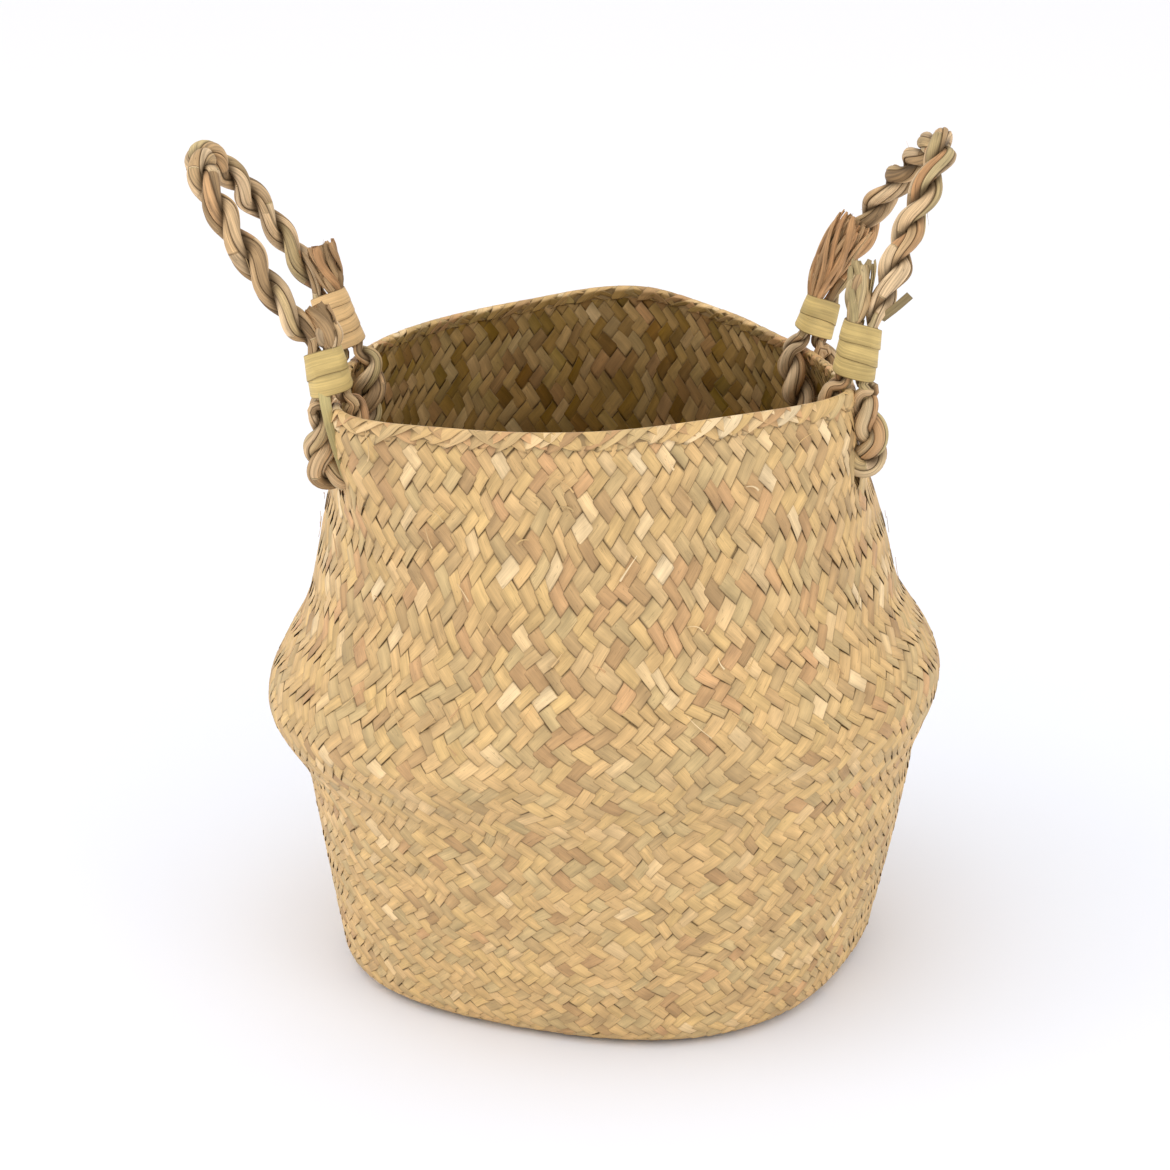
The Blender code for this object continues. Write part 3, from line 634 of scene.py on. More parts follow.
def grass_finish(name, shade, stops, across=1500.0, along=60.0, streak=0.12, blotch=0.2,
                 split=0.35, depth=0.8, rough=0.62, bump=0.25):
    """Dried grass: stops are (tone, colour), tone being a fact of each strip."""
    if name in bpy.data.materials:
        return bpy.data.materials[name]
    made = bpy.data.materials.new(name)
    made.use_nodes = True
    tree = made.node_tree
    shader = tree.nodes["Principled BSDF"]

    def fact(label, output="Fac"):
        node = tree.nodes.new("ShaderNodeAttribute")
        node.attribute_name = label
        return node.outputs[output]
    ramp = tree.nodes.new("ShaderNodeValToRGB")
    while len(ramp.color_ramp.elements) < len(stops):
        ramp.color_ramp.elements.new(0.5)
    for element, (position, colour) in zip(ramp.color_ramp.elements, stops):
        element.position = position
        element.color = (*colour[:3], 1)
    link(tree, fact("tone"), ramp.inputs["Fac"])
    fibre = placed_group(tree, fibre_group(), Grain=fact("grain", "Vector"), Across=across,
                         Along=along)
    light = range_node(tree, fibre.outputs["Streak"], *STREAK_RANGE, 1 - streak, 1 + streak)
    mottled = range_node(tree, fibre.outputs["Blotch"], *BLOTCH_RANGE, 1 - blotch, 1 + blotch)
    split_light = range_node(tree, fibre.outputs["Split"], 0.0, 1.0, 1.0, 1 - split)
    value = math_node(tree, "MULTIPLY", math_node(tree, "MULTIPLY", light, mottled), split_light)
    tinted = tree.nodes.new("ShaderNodeVectorMath")
    tinted.operation = "SCALE"
    link(tree, ramp.outputs["Color"], tinted.inputs[0])
    link(tree, value, tinted.inputs["Scale"])
    # Painted shade: the colour is darkened towards the shade colour in slits, creases and dips,
    # and tinted darker inside the basket
    dark = placed_group(tree, slit_group(), Colour=tinted.outputs[0], Slit=fact("slit"),
                        Inner=fact("inner"), Shade=shade, Inner_shade=INNER_SHADE, Depth=depth)
    link(tree, dark.outputs["Colour"], shader.inputs["Base Color"])
    link(tree, range_node(tree, fibre.outputs["Streak"], *BLOTCH_RANGE, rough - ROUGH_SPREAD,
                          rough + ROUGH_SPREAD), shader.inputs["Roughness"])
    height = math_node(tree, "ADD", fibre.outputs["Streak"],
                       math_node(tree, "MULTIPLY", fibre.outputs["Fine"], FINE_SHARE))
    raised = tree.nodes.new("ShaderNodeBump")
    raised.inputs["Strength"].default_value = bump
    raised.inputs["Distance"].default_value = FIBRE_RISE
    link(tree, height, raised.inputs["Height"])
    link(tree, raised.outputs["Normal"], shader.inputs["Normal"])
    shader.inputs["Specular IOR Level"].default_value = GRASS_SHEEN
    return made


def times(share, colour):
    return tuple(share * part for part in colour)


def plait_finish(colours):
    return grass_finish("Seagrass strip", colours.shade, (
        (0.000, colours.rust), (0.012, colours.brown), (0.10, colours.rose),
        (0.22, colours.brown), (0.36, colours.sage), (0.50, colours.tan), (0.62, colours.honey),
        (0.74, colours.tan), (0.86, colours.beige), (1.0, colours.cream)))


def rope_finish(colours):
    return grass_finish("Twisted seagrass", colours.shade, (
        (0.0, colours.rope_red), (0.18, colours.rope), (0.36, colours.rope_dark),
        (0.52, colours.rope_pale), (0.68, colours.rope_olive), (0.82, colours.rope),
        (1.0, colours.rope_pale)),
        along=45.0, streak=0.42, blotch=0.22, split=0.6, depth=0.92, rough=0.7, bump=0.6)


def tie_finish(colours, pale):
    main = colours.tie_pale if pale else colours.tie
    name = "Beige binding" if pale else "Green binding"
    return grass_finish(name, colours.shade, (
        (0.0, times(0.85, main)), (0.5, main), (1.0, times(1.08, main))),
        along=18.0, streak=0.22, blotch=0.16, split=0.3, depth=0.85, rough=0.5, bump=0.5)


def leaf_finish(colours):
    return grass_finish("Loose leaf", colours.shade, (
        (0.0, times(1.35, colours.leaf)), (0.4, colours.leaf), (1.0, times(0.9, colours.leaf))),
        across=1900.0, along=25.0, streak=0.14, blotch=0.1, depth=0.75, rough=0.5, bump=0.3)


# ------------------------------------------------------------------ the plaited wall

# How far from a crossing a strip starts to dive, in pitches, and where its rings lie from one
# crossing to the next
DIVE = 0.30
RING_SHARES = (0.0, 0.05, 0.10, 0.16, 0.5, 0.84, 0.90, 0.95)
# Rings keep this far from both ends of a strip, in rows
END_ROOM = 0.08
# Where along a float the painted shade of the next strip starts
SHADE_START = 0.86


def flat_wave(x):
    """A wave of period 4 with flat tops and short slopes: 1 at 0 and -1 at 2."""
    past = (x + 1) % 4 - 2
    slope = np.clip(np.where(np.abs(past) <= 1, past, np.sign(past) * (2 - np.abs(past)))
                    / DIVE, -1, 1)
    return -np.sin(math.pi / 2 * slope)


def slit_share(row):
    """How far a strip is in the painted shade where it dips under its neighbours, from 0 along a
    float to 1 between two.
    """
    away = np.abs((row + 0.5) % 2 - 1)
    return ease((away - SHADE_START) / (1 - SHADE_START))


def ring_rows(low, high):
    """Places along a strip for its mesh's rings, closer together where it dives."""
    starts = np.arange(math.floor(low / 2) - 1, math.ceil(high / 2) + 1) * 2 + 1.5
    rows = (starts[:, None] + np.array(RING_SHARES)[None, :] * 2).ravel()
    rows = rows[(rows > low + END_ROOM) & (rows < high - END_ROOM)]
    return np.concatenate([[low], rows, [high]])


# The waves that the rows wander in: how many are added up, the most of them round the wall, how
# they slant, how much smaller the short ones are, and what evens out their sum
WANDER_WAVES = 14
MOST_ROUND = 25
WANDER_SLANT = 0.5
WANDER_FADE = 0.12
WANDER_EVENED = 2.2


def wander(turn, climb, count, size):
    """How far the rows wander, in pitches, from smooth waves round the wall."""
    rng = np.random.default_rng(SEEDS["wander"])
    across, up = np.zeros_like(turn), np.zeros_like(turn)
    for _ in range(WANDER_WAVES):
        whole = int(rng.integers(1, MOST_ROUND + 1))
        rate = rng.normal(0, WANDER_SLANT)
        start, other = rng.random() * ANY_PHASE, rng.random() * ANY_PHASE
        share = size / (1 + WANDER_FADE * whole) / WANDER_EVENED
        phase = 2 * math.pi * whole * turn / count
        across = across + share * np.sin(phase + rate * climb + start)
        up = up + share * np.sin(phase - rate * climb + other)
    return across, up


# How far a hole pushes the strips beside it, and how far along them that reaches, in pitches
HOLE_PITCHES = 1.75
HOLE_FALL = 2.4


def pushed_aside(a, b, own, other):
    """How far a strip moves across its own way, in pitches, to pass a hole at a, b."""
    away = own - a
    side = np.where(away < 0, -1.0, 1.0)
    moved = side * (np.abs(away) ** 3 + HOLE_PITCHES ** 3) ** (1 / 3) - away
    return moved * np.exp(-((other - b) / HOLE_FALL) ** 2)


# How the floats differ: the widest, how much narrower the others are and how far one drifts, in
# pitches, how far one tilts, in laps, and how often these are evened out along a strip
WIDEST = 1.06
NARROWER = 0.12
DRIFT = 0.06
TILT = 0.6
EVENING_ROUNDS = 2
# A strip's ends keep to even rows, and it wanders in full this many rows further on
STEADY_ROWS = 6
# How much of a tone is the strip's own, and not the float's
OWN_SHARE = 0.36
# Tones never go below this, and spread by the first share low down and by both higher up
LOWEST_TONE = 0.03
TONE_SPREADS = (0.80, 0.24)
# Above the belly, tones and the painted shade in slits grow stronger over this height, the painted
# shade by this share
UPPER_RISE = 0.06
UPPER_SLIT = 0.5
# How dark the painted shade is in the dips, along the edges and on the edge under the next strip:
# least, and how much more
DIP_SHADES = (0.45, 0.9)
EDGE_SHADES = (0.4, 1.1)
UNDER_SHADE = 0.10
# The painted shade on the inside: least, from float to float, across a strip, and in its dips
INNER_SHADES = (0.06, 0.80, 0.08, 0.35)
# The radius that the fibres' scale is taken at, and how far apart two strips' fibres are
FIBRE_RADIUS = 0.13
FIBRE_STEP = 0.173


def tone_offset(own, each):
    """A strip's own tone and each float's together, from the middle tone."""
    return OWN_SHARE * (own - 0.5) + (1 - OWN_SHARE) * (each - 0.5)


def plait_strips(way, strips, plait, climb_range, holes, seed):
    """Strips of the wall that climb one way, as points, quads and facts."""
    count = plait.strips
    rng = np.random.default_rng(seed)
    low, high = (2 * count * climb for climb in climb_range)
    row = ring_rows(low, high)[None, :, None]
    rings = row.shape[1]
    strip = np.asarray(strips)[:, None, None].astype(float)
    floats = np.floor((row[0, :, 0] + 0.5) / 2).astype(int) - int(low // 2) + 1
    table = (len(strips), int(floats.max()) + 2)

    def held(values):
        """A table's values, each held along its float."""
        return values[:, np.clip(floats, 0, None)]
    own_tone = rng.random(len(strips))[:, None]
    tone = held(rng.random(table))
    tilt = held(rng.normal(0, 1, table))
    width = plait.fill * (WIDEST - NARROWER * held(rng.random(table)))
    side = held(rng.normal(0, DRIFT, table))
    for _ in range(EVENING_ROUNDS):
        for values in (tilt, width, side):
            values[:, 1:-1] = (values[:, :-2] + values[:, 1:-1] + values[:, 2:]) / 3
    centre_turn, centre_climb = np.broadcast_arrays(strip + way * row / 2, row / 2)
    own, other = centre_turn - way * centre_climb, centre_turn + way * centre_climb
    shift = side[:, :, None]
    for hole_turn, hole_climb in holes:
        for whole in (-count, 0, count):
            turn = hole_turn + whole
            shift = shift + pushed_aside(turn - way * hole_climb, turn + way * hole_climb,
                                         own, other)
    lateral = LENS_ACROSS * width[:, :, None] / 2 + shift
    turn = centre_turn + lateral / 2
    climb = centre_climb - way * lateral / 2
    over, up = wander(turn, climb, count, plait.wander)
    steady = ease(np.minimum(row - low, high - row) / STEADY_ROWS)
    turn, climb = turn + over * steady, climb + up * steady
    lap = way * plait.lap + TILT * plait.lap * tilt[:, :, None]
    raised = (plait.relief * way * flat_wave(row - 0.5)
              + lens_rise(plait.thickness / 2, plait.crown) + lap * LENS_ACROSS)
    points = wall_points(2 * math.pi * turn / count, climb / count, WALL / 2 - raised)
    # Painted shade inside the basket: on the inside face only, patchy from float to float, darker
    # towards one edge of each strip and in its dips
    least, patchy, sloping, deep = INNER_SHADES
    dips = slit_share(row)
    patch = held(rng.random(table))[:, :, None]
    inner = (LENS_THROUGH < 0) * (least + patchy * patch + sloping * (1 - way * LENS_ACROSS)
                                  + deep * dips)
    # Painted shade on both faces: in the dips and along both edges, varied from float to float, on
    # the edge under the next strip, and stronger above the belly
    dive, edge = (held(rng.random(table))[:, :, None] for _ in range(2))
    upper = ease((points[..., 2] - BELLY_HEIGHT) / UPPER_RISE)
    slit = (dips * (DIP_SHADES[0] + DIP_SHADES[1] * dive)
            + np.abs(LENS_ACROSS) ** EDGE_FADE * (EDGE_SHADES[0] + EDGE_SHADES[1] * edge)
            + UNDER_SHADE * (LENS_ACROSS < UNDER_EDGE)) * (1 + UPPER_SLIT * upper)
    spread = TONE_SPREADS[0] + TONE_SPREADS[1] * upper[..., 0]
    mixed = np.clip(0.5 + tone_offset(own_tone, tone) * spread, LOWEST_TONE, 1)[:, :, None]
    pitch = 2 * math.pi * FIBRE_RADIUS / count / math.sqrt(2)
    grain = (LENS_ACROSS * pitch / 2, row * pitch, strip * FIBRE_STEP + mixed)
    return (points, tube_faces(len(strips), rings, len(LENS)),
            strip_facts(points.shape[:3], mixed, slit, inner, grain))


def leg_holes(plait):
    """Where the four legs pass the wall, in pitches round and up it."""
    climb = climb_at(RIM_HEIGHT - HOLE_DROP) * plait.strips
    holes = []
    for leg in LEGS.values():
        turn = leg["angle"] / 360 % 1 * plait.strips
        over, up = wander(np.array([turn]), np.array([climb]), plait.strips, plait.wander)
        holes.append((turn - float(over[0]), climb - float(up[0])))
    return holes


# The strips of each way are made in this many pieces, and go this far up under the edge
STRIP_GROUPS = 4
EDGE_COVER_SHARE = 0.45


class BASKET_OT_wall(bpy.types.Operator):
    """Plait the wall: diagonal twill strips that climb both ways from the base to the rim"""
    bl_idname = "basket.wall"
    bl_label = "Plait the wall"

    def execute(self, context):
        plait, colours = context.scene.basket_plait, context.scene.basket_colours
        climbs = (TURNS_UP[0], climb_at(RIM_HEIGHT - EDGE_TALL * EDGE_COVER_SHARE))
        holes = leg_holes(plait)
        forms = {}
        for way, label in ((1, "rising_right"), (-1, "rising_left")):
            for group in range(STRIP_GROUPS):
                strips = range(group * plait.strips // STRIP_GROUPS,
                               (group + 1) * plait.strips // STRIP_GROUPS)
                forms[f"plait_{label}_{group + 1}"] = plait_strips(
                    way, strips, plait, climbs, holes, SEEDS["wall"] + 10 * way + group)
        forms["plait_splinters"] = splinters(plait)
        for name, form in forms.items():
            piece = add_mesh(name, form, plait_finish(colours))
            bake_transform(piece)
            if name == "plait_splinters":
                replace_nodes(piece, "upper_wall")
            else:
                replace_nodes(piece, "lower_wall", "belly_fold", "upper_wall")
        return {"FINISHED"}


# Splinters: how many there are; their lengths, widths and lifts, each the least and how much
# more; how far below the neck they start, and over what height; and how they bend and taper
SPLINTERS = 110
SPLINTER_LENGTHS = (0.004, 0.008)
SPLINTER_WIDTHS = (0.0004, 0.0007)
SPLINTER_LIFTS = (0.0004, 0.0012)
SPLINTER_DROP = 0.04
SPLINTER_SPAN = 0.13
SPLINTER_BEND = 0.35
SPLINTER_TAPER = 0.7
SPLINTER_THICK = 0.0002
SPLINTER_RINGS = 7
SPLINTER_PALER = 0.7


def splinters(plait):
    """Slivers that have split from the strips of the upper wall and lift off it."""
    rng = np.random.default_rng(SEEDS["splinters"])
    parts = []
    share = np.linspace(0, 1, SPLINTER_RINGS)
    for number in range(SPLINTERS):
        way = 1 if rng.random() < 0.5 else -1
        length = drawn(rng, SPLINTER_LENGTHS, 2)
        start = rng.random() * 2 * math.pi
        climb = climb_at(NECK_HEIGHT - SPLINTER_DROP + SPLINTER_SPAN * rng.random())
        steps = length * share / (2 * math.pi * RIM_RADIUS * math.sqrt(2))
        bent = SPLINTER_BEND * rng.normal() * steps * share
        lift = (SPLINTER_LIFTS[0] + plait.relief / 2
                + SPLINTER_LIFTS[1] * rng.random() * share ** 2)
        line = wall_points(start + 2 * math.pi * way * (steps + bent), climb + steps - bent, -lift)
        above, on = wall_points(np.full(2, start), np.full(2, climb), np.array([-0.01, 0.0]))
        width = drawn(rng, SPLINTER_WIDTHS) * (1 - SPLINTER_TAPER * share)
        parts.append(ribbon(line, above - on, width, SPLINTER_THICK, 0.0, number,
                            rng.random() ** SPLINTER_PALER))
    return joined(parts)


# ------------------------------------------------------------------ the mat under it

# The mat: the height of its middle, how far out it goes, how far its strips rise and differ in
# width, and how dark the painted shade along their edges is
MAT_DEPTH = 0.0015
MAT_REACH = 0.1105
MAT_RELIEF = 0.0006
MAT_NARROWER = 0.06
MAT_EDGE_SHADE = 0.9
MAT_RINGS = 90
MAT_FLOATS = 120
MAT_FIBRE_STEP = 0.19
# A strip's ends are looked for this far out, at this many spots; it has to hold more than a few
MAT_SEARCH_SHARE = 1.1
MAT_SPOTS = 801
FEW_SPOTS = 12


def mat_strips(way, plait, seed):
    """Straight strips of the base's mat, cut to its outline."""
    pitch = plait.mat_pitch
    rng = np.random.default_rng(seed)
    reach = MAT_SEARCH_SHARE * MAT_REACH
    count = int(reach / pitch)
    run = np.linspace(-reach, reach, MAT_SPOTS)
    turned = BASE_CORNER_ANGLE + math.radians(45)
    along_way = np.array([math.cos(turned), math.sin(turned)])
    side_way = np.array([-math.sin(turned), math.cos(turned)])
    if way < 0:
        along_way, side_way = side_way, along_way
    kept, spans = [], []
    for number in range(-count, count + 1):
        spots = run[:, None] * along_way + number * pitch * side_way
        edge = place(np.arctan2(spots[:, 1], spots[:, 0]), MAT_REACH, 0.0)
        inside = np.hypot(*spots.T) < np.hypot(edge[:, 0] - BASE_SHIFT, edge[:, 1])
        if inside.sum() > FEW_SPOTS:
            kept.append(number)
            spans.append((run[inside].min(), run[inside].max()))
    strip, spans = np.array(kept)[:, None, None], np.array(spans)
    length = spans[:, :1] + (spans[:, 1:] - spans[:, :1]) * np.linspace(0, 1, MAT_RINGS)
    length = length[:, :, None]
    row = way * (length / pitch - strip)
    width = plait.fill * pitch * (1 - MAT_NARROWER * rng.random(strip.shape))
    lateral = strip * pitch + LENS_ACROSS * width / 2
    flat = length[..., None] * along_way + lateral[..., None] * side_way
    down = (MAT_RELIEF * way * flat_wave(row - 0.5)
            + lens_rise(plait.thickness / 2, plait.crown))
    height = np.maximum(MAT_DEPTH - down, 0.0)
    points = np.concatenate([flat + np.array([BASE_SHIFT, 0.0]), height[..., None]], -1)
    floats = np.floor((row[..., 0] + 0.5) / 2).astype(int) + MAT_FLOATS // 2
    each = np.take_along_axis(rng.random((len(kept), MAT_FLOATS)),
                              np.clip(floats, 0, MAT_FLOATS - 1), 1)[:, :, None]
    tone = 0.5 + tone_offset(rng.random(strip.shape), each)
    # Painted shade in the dips and along the edges, and over the whole upper face, inside the
    # basket
    slit = slit_share(row) + MAT_EDGE_SHADE * np.abs(LENS_ACROSS) ** EDGE_FADE
    grain = (LENS_ACROSS * pitch / 2, length, strip * MAT_FIBRE_STEP + tone)
    return (points, tube_faces(len(kept), MAT_RINGS, len(LENS)),
            strip_facts(points.shape[:3], tone, slit, (LENS_THROUGH < 0).astype(float), grain))


class BASKET_OT_mat(bpy.types.Operator):
    """Plait the flat mat that the wall stands up from"""
    bl_idname = "basket.mat"
    bl_label = "Plait the base"

    def execute(self, context):
        plait, colours = context.scene.basket_plait, context.scene.basket_colours
        for way, label in ((1, "lengthwise"), (-1, "crosswise")):
            piece = add_mesh(f"base_strips_{label}", mat_strips(way, plait, SEEDS["mat"] + way),
                             plait_finish(colours))
            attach(piece, "basket")
            replace_nodes(piece, "base_mat")
        return {"FINISHED"}


# ------------------------------------------------------------------ the overcast edge

# The two rows of folds over the rim: the way that they slant, how many there are, their lift
FOLD_ROWS = ((1, 98, 0.00005), (-1, 81, -0.00020))
# Half the thickness of the edge that they go over, and how far down they go outside and inside
EDGE_HALF = 0.0014
FOLD_BAND = 0.0085
FOLD_INSIDE = 0.0066
# The shares of a fold that lie on one side and go over the top, and how round the top is
FOLD_SIDE = 0.36
FOLD_OVER = 0.28
FOLD_ROUND = 0.75
FOLD_RINGS = 34
# The middle one, and how much they differ: widths, slants and shifts in pitches, reaches as
# shares, and lifts; and how much further than a side's slant the whole fold goes round
FOLD_WIDTHS = (1.12, 0.20)
FOLD_SLANTS = (1.7, 0.40)
FOLD_REACHES = (1, 0.14)
FOLD_SHIFTS = (0, 0.13)
FOLD_LIFTS = (0, 0.00016)
FOLD_SPIRAL = 1.6
# Half a fold's thickness, its swell and its lap over the next; then where its ends taper, by how
# much, and how they are tucked down and darkened with painted shade, at the ends and on the edge
# under the next fold
FOLD_HALF_THICK = 0.00022
FOLD_CROWN = 0.00010
FOLD_LAP = 0.00058
FOLD_TAPERS = ((0.26, 0.75), (0.22, 0.4))
FOLD_TUCK = (0.10, 0.0006)
FOLD_END_SHADE = (0.07, 0.8)
FOLD_UNDER_SHADE = 0.35
FOLD_TONES = (0.05, 0.95)
# How far along a fold the painted shade of the inside starts and over what share, and that shade
# by tone
FOLD_INNER = (0.55, 0.15)
FOLD_INNER_SHADES = (0.15, 0.6)
# The fibres' scale on a fold, and how far apart two folds' and two rows' fibres are
FOLD_GRAIN = (0.0035, 0.018)
FOLD_FIBRE_STEPS = (0.31, 900)


def fold_points(turn, down_low, inside_low, lift, angle):
    """Points of the rim's fold: turn runs 0 to 1 from outside, over the top, to inside."""
    bend = np.clip((turn - FOLD_SIDE) / FOLD_OVER, 0, 1) * math.pi
    outside = np.clip(turn / FOLD_SIDE, 0, 1)
    inside = np.clip((turn - 1 + FOLD_SIDE) / FOLD_SIDE, 0, 1)
    round_radius = EDGE_HALF + lift
    down = (down_low * (1 - outside) + round_radius * (1 - np.sin(bend)) * FOLD_ROUND
            + inside_low * inside)
    offset = round_radius * np.cos(bend)
    climb = np.interp(RIM_HEIGHT - down, PROFILE[PROFILE_STEPS:, 1], TURNS_UP[PROFILE_STEPS:])
    return wall_points(angle, climb, WALL / 2 - offset)


def near_start(share, reach):
    """1 at the start of a strip, falling to 0 at reach."""
    return ease((reach - share) / reach)


def near_end(share, reach):
    return near_start(1 - share, reach)


def edge_folds(seed, way, count, lift):
    """One row of the strips' ends, folded over the rim, each slanting to the next."""
    rng = np.random.default_rng(seed)
    turn = np.linspace(0, 1, FOLD_RINGS)[None, :, None]
    number = np.arange(count)[:, None, None]
    pitch = 2 * math.pi / count

    def varied(middle, spread):
        return middle + spread * rng.normal(0, 1, number.shape)
    width = pitch * varied(*FOLD_WIDTHS)
    slant = pitch * varied(*FOLD_SLANTS)
    reach = varied(*FOLD_REACHES)
    (start_reach, start_taper), (end_reach, end_taper) = FOLD_TAPERS
    taper = (1 - start_taper * near_start(turn, start_reach)
             - end_taper * near_end(turn, end_reach))
    angle = pitch * (number + varied(*FOLD_SHIFTS)) + way * (
        slant * (turn - 0.5) * FOLD_SPIRAL + LENS_ACROSS * width / 2 * taper)
    up = (lift + lens_rise(FOLD_HALF_THICK, FOLD_CROWN) + FOLD_LAP * LENS_ACROSS
          + varied(*FOLD_LIFTS))
    tucked, tuck = FOLD_TUCK
    up = up - tuck * near_start(turn, tucked) - tuck * near_end(turn, tucked)
    points = fold_points(np.broadcast_to(turn, angle.shape), (FOLD_BAND - EDGE_HALF) * reach,
                         FOLD_INSIDE - EDGE_HALF, up, angle)
    tone = FOLD_TONES[0] + FOLD_TONES[1] * rng.random(number.shape)
    # Painted shade along both edges, on the edge under the next fold and at both ends; and on the
    # part inside the rim, by the fold's tone
    shaded, shade = FOLD_END_SHADE
    slit = (np.abs(LENS_ACROSS) ** EDGE_FADE + FOLD_UNDER_SHADE * (LENS_ACROSS < UNDER_EDGE)
            + shade * (near_start(turn, shaded) + near_end(turn, shaded)))
    inner = (ease((turn - FOLD_INNER[0]) / FOLD_INNER[1])
             * (FOLD_INNER_SHADES[0] + FOLD_INNER_SHADES[1] * tone))
    grain = (LENS_ACROSS * FOLD_GRAIN[0], turn * FOLD_GRAIN[1],
             number * FOLD_FIBRE_STEPS[0] + lift * FOLD_FIBRE_STEPS[1])
    return (points, tube_faces(count, FOLD_RINGS, len(LENS)),
            strip_facts(points.shape[:3], tone, slit, inner, grain))


# The core under the folds: its rings and sides, how far down it goes, how much thinner than the
# edge it is, its tone and its painted shade, which makes it dark where it shows between the folds
CORE_RINGS = 480
CORE_SIDES = 17
CORE_DOWN = 0.0050
CORE_THINNER = 0.0005
CORE_TONE = 0.45
CORE_SHADE = 0.7


def edge_core():
    """The core that the folds go over, darkened all over with painted shade."""
    angle = np.linspace(0, 2 * math.pi, CORE_RINGS, endpoint=False)[:, None]
    angle, turn = np.broadcast_arrays(angle, np.linspace(0, 1, CORE_SIDES))
    points = fold_points(turn, CORE_DOWN, CORE_DOWN, -CORE_THINNER, angle)
    return (points, tube_faces(1, CORE_RINGS, CORE_SIDES, closed=True),
            strip_facts(angle.shape, CORE_TONE, CORE_SHADE))


class BASKET_OT_edge(bpy.types.Operator):
    """Fold and overcast the strips along the rim"""
    bl_idname = "basket.edge"
    bl_label = "Finish the rim"

    def execute(self, context):
        parts = [edge_core()] + [edge_folds(SEEDS["edge"] + number, *row)
                                 for number, row in enumerate(FOLD_ROWS)]
        piece = add_mesh("rim_overcast", joined(parts),
                         plait_finish(context.scene.basket_colours))
        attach(piece, "upper")
        replace_nodes(piece, "rim_edge")
        return {"FINISHED"}


# ------------------------------------------------------------------ ropes

def run_lengths(path):
    """How far along a path each of its points lies."""
    return np.concatenate([[0], np.cumsum(np.linalg.norm(np.diff(path, axis=0), axis=1))])


def smooth_path(points, step):
    """Points at even steps along a smooth curve through the given ones."""
    ends = [2 * points[0] - points[1]] + points + [2 * points[-1] - points[-2]]
    spans = [(there - here).length for here, there in zip(ends, ends[1:])]
    speeds = [(there - here) / span for here, there, span in zip(ends, ends[1:], spans)]
    slopes = [(speed_in * span_out + speed_out * span_in) / (span_in + span_out)
              for speed_in, speed_out, span_in, span_out
              in zip(speeds, speeds[1:], spans, spans[1:])]
    dense = []
    for low, high, slope_in, slope_out in zip(points, points[1:], slopes, slopes[1:]):
        span = (high - low).length
        for piece in range(PATH_PIECES):
            dense.append(hermite(piece / PATH_PIECES, low, high, slope_in * span,
                                 slope_out * span))
    dense = np.array(dense + points[-1:])
    lengths = run_lengths(dense)
    even = np.linspace(0, lengths[-1], max(round(lengths[-1] / step), 2) + 1)
    return np.stack([np.interp(even, lengths, dense[:, k]) for k in range(3)], -1)


class Leg:
    """Where one end of a handle's rope meets the wall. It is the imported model's, except that
    its loop outside lies closer to the wall."""

    def __init__(self, name):
        facts = LEGS[name]
        angle = math.radians(facts["angle"])
        self.name = name
        self.tie_height = facts["tie"]
        self.tie_turns = facts["turns"]
        self.tie_tone = facts["tone"]
        self.loop_out = facts["swell"]
        self.out = rim_outward(angle)
        self.rim = edge_centre(angle) + EDGE_TALL / 2 * UP
        self.up = (UP + facts["lean_share"] * self.out).normalized()
        self.hole = wall_middle(angle, RIM_HEIGHT - HOLE_DROP)
        self.wall_up = (edge_centre(angle) - self.hole).normalized()
        self.wall_out = self.wall_up.cross(UP.cross(self.out)).normalized()
        if self.wall_out.dot(self.out) < 0:
            self.wall_out = -self.wall_out
        self.tie_foot = self.rim + facts["standoff"] * self.up
        self.strand = TIED_RADIUS + ROPE_GAP / 2
        self.side = self.up.cross(self.out).normalized()
        self.flat_out = self.side.cross(self.up).normalized()
        self.top = self.tie_foot + self.tie_height * self.up
        self.strand_top = self.top - self.flat_out * self.strand
        self.pivot = (self.top + self.flat_out * self.strand
                      + (TIED_RADIUS + SEAM_GAP) * self.up)

    def rope_points(self):
        """From the top of the tie inside, down, through the wall, and up outside to the tie."""
        past_edge = EDGE_WIDE / 2 + RIM_ROPE_RADIUS + 2 * ROPE_GAP
        lead = TIE_LEAD_IN * self.up
        middle = self.tie_height / 2 * self.up
        outward = self.flat_out * self.strand
        edge = self.rim - EDGE_TALL / 2 * UP
        bend_centre = self.hole + LOOP_RADIUS * self.wall_up
        halfway = (bend_centre + edge) / 2
        inside = [self.strand_top, self.tie_foot + middle - outward, self.tie_foot - outward,
                  self.tie_foot - lead - outward, self.rim - past_edge * self.out,
                  edge - past_edge * self.wall_out,
                  halfway - LOOP_RADIUS * self.wall_out]
        bend = []
        for step in range(BEND_POINTS + 1):
            turn = math.pi * step / BEND_POINTS
            bend.append(bend_centre - LOOP_RADIUS * (math.cos(turn) * self.wall_out
                                                     + math.sin(turn) * self.wall_up))
        outside = [halfway + (LOOP_RADIUS + self.loop_out) * self.wall_out,
                   edge + (past_edge + self.loop_out / 2) * self.wall_out,
                   self.rim + past_edge * self.out - EDGE_TALL / 4 * UP,
                   self.tie_foot - lead + outward, self.tie_foot + outward,
                   self.tie_foot + middle + outward, self.top + outward]
        return inside + bend + outside


def bow_route(front, back, reach, lean, shares):
    """The points that a bow passes between its two pivots, and the way that it stands."""
    middle = (front.pivot + back.pivot) / 2
    half = (back.pivot - front.pivot) / 2
    outward = UP.cross(half).normalized()
    if outward.dot(front.out) < 0:
        outward = -outward
    rise = math.cos(lean) * UP + math.sin(lean) * outward
    return [middle + along * half + reach * up * rise for along, up in shares], middle, rise


# A direction that no path starts along
CROSSWISE = (0.13, 0.31, 0.94)


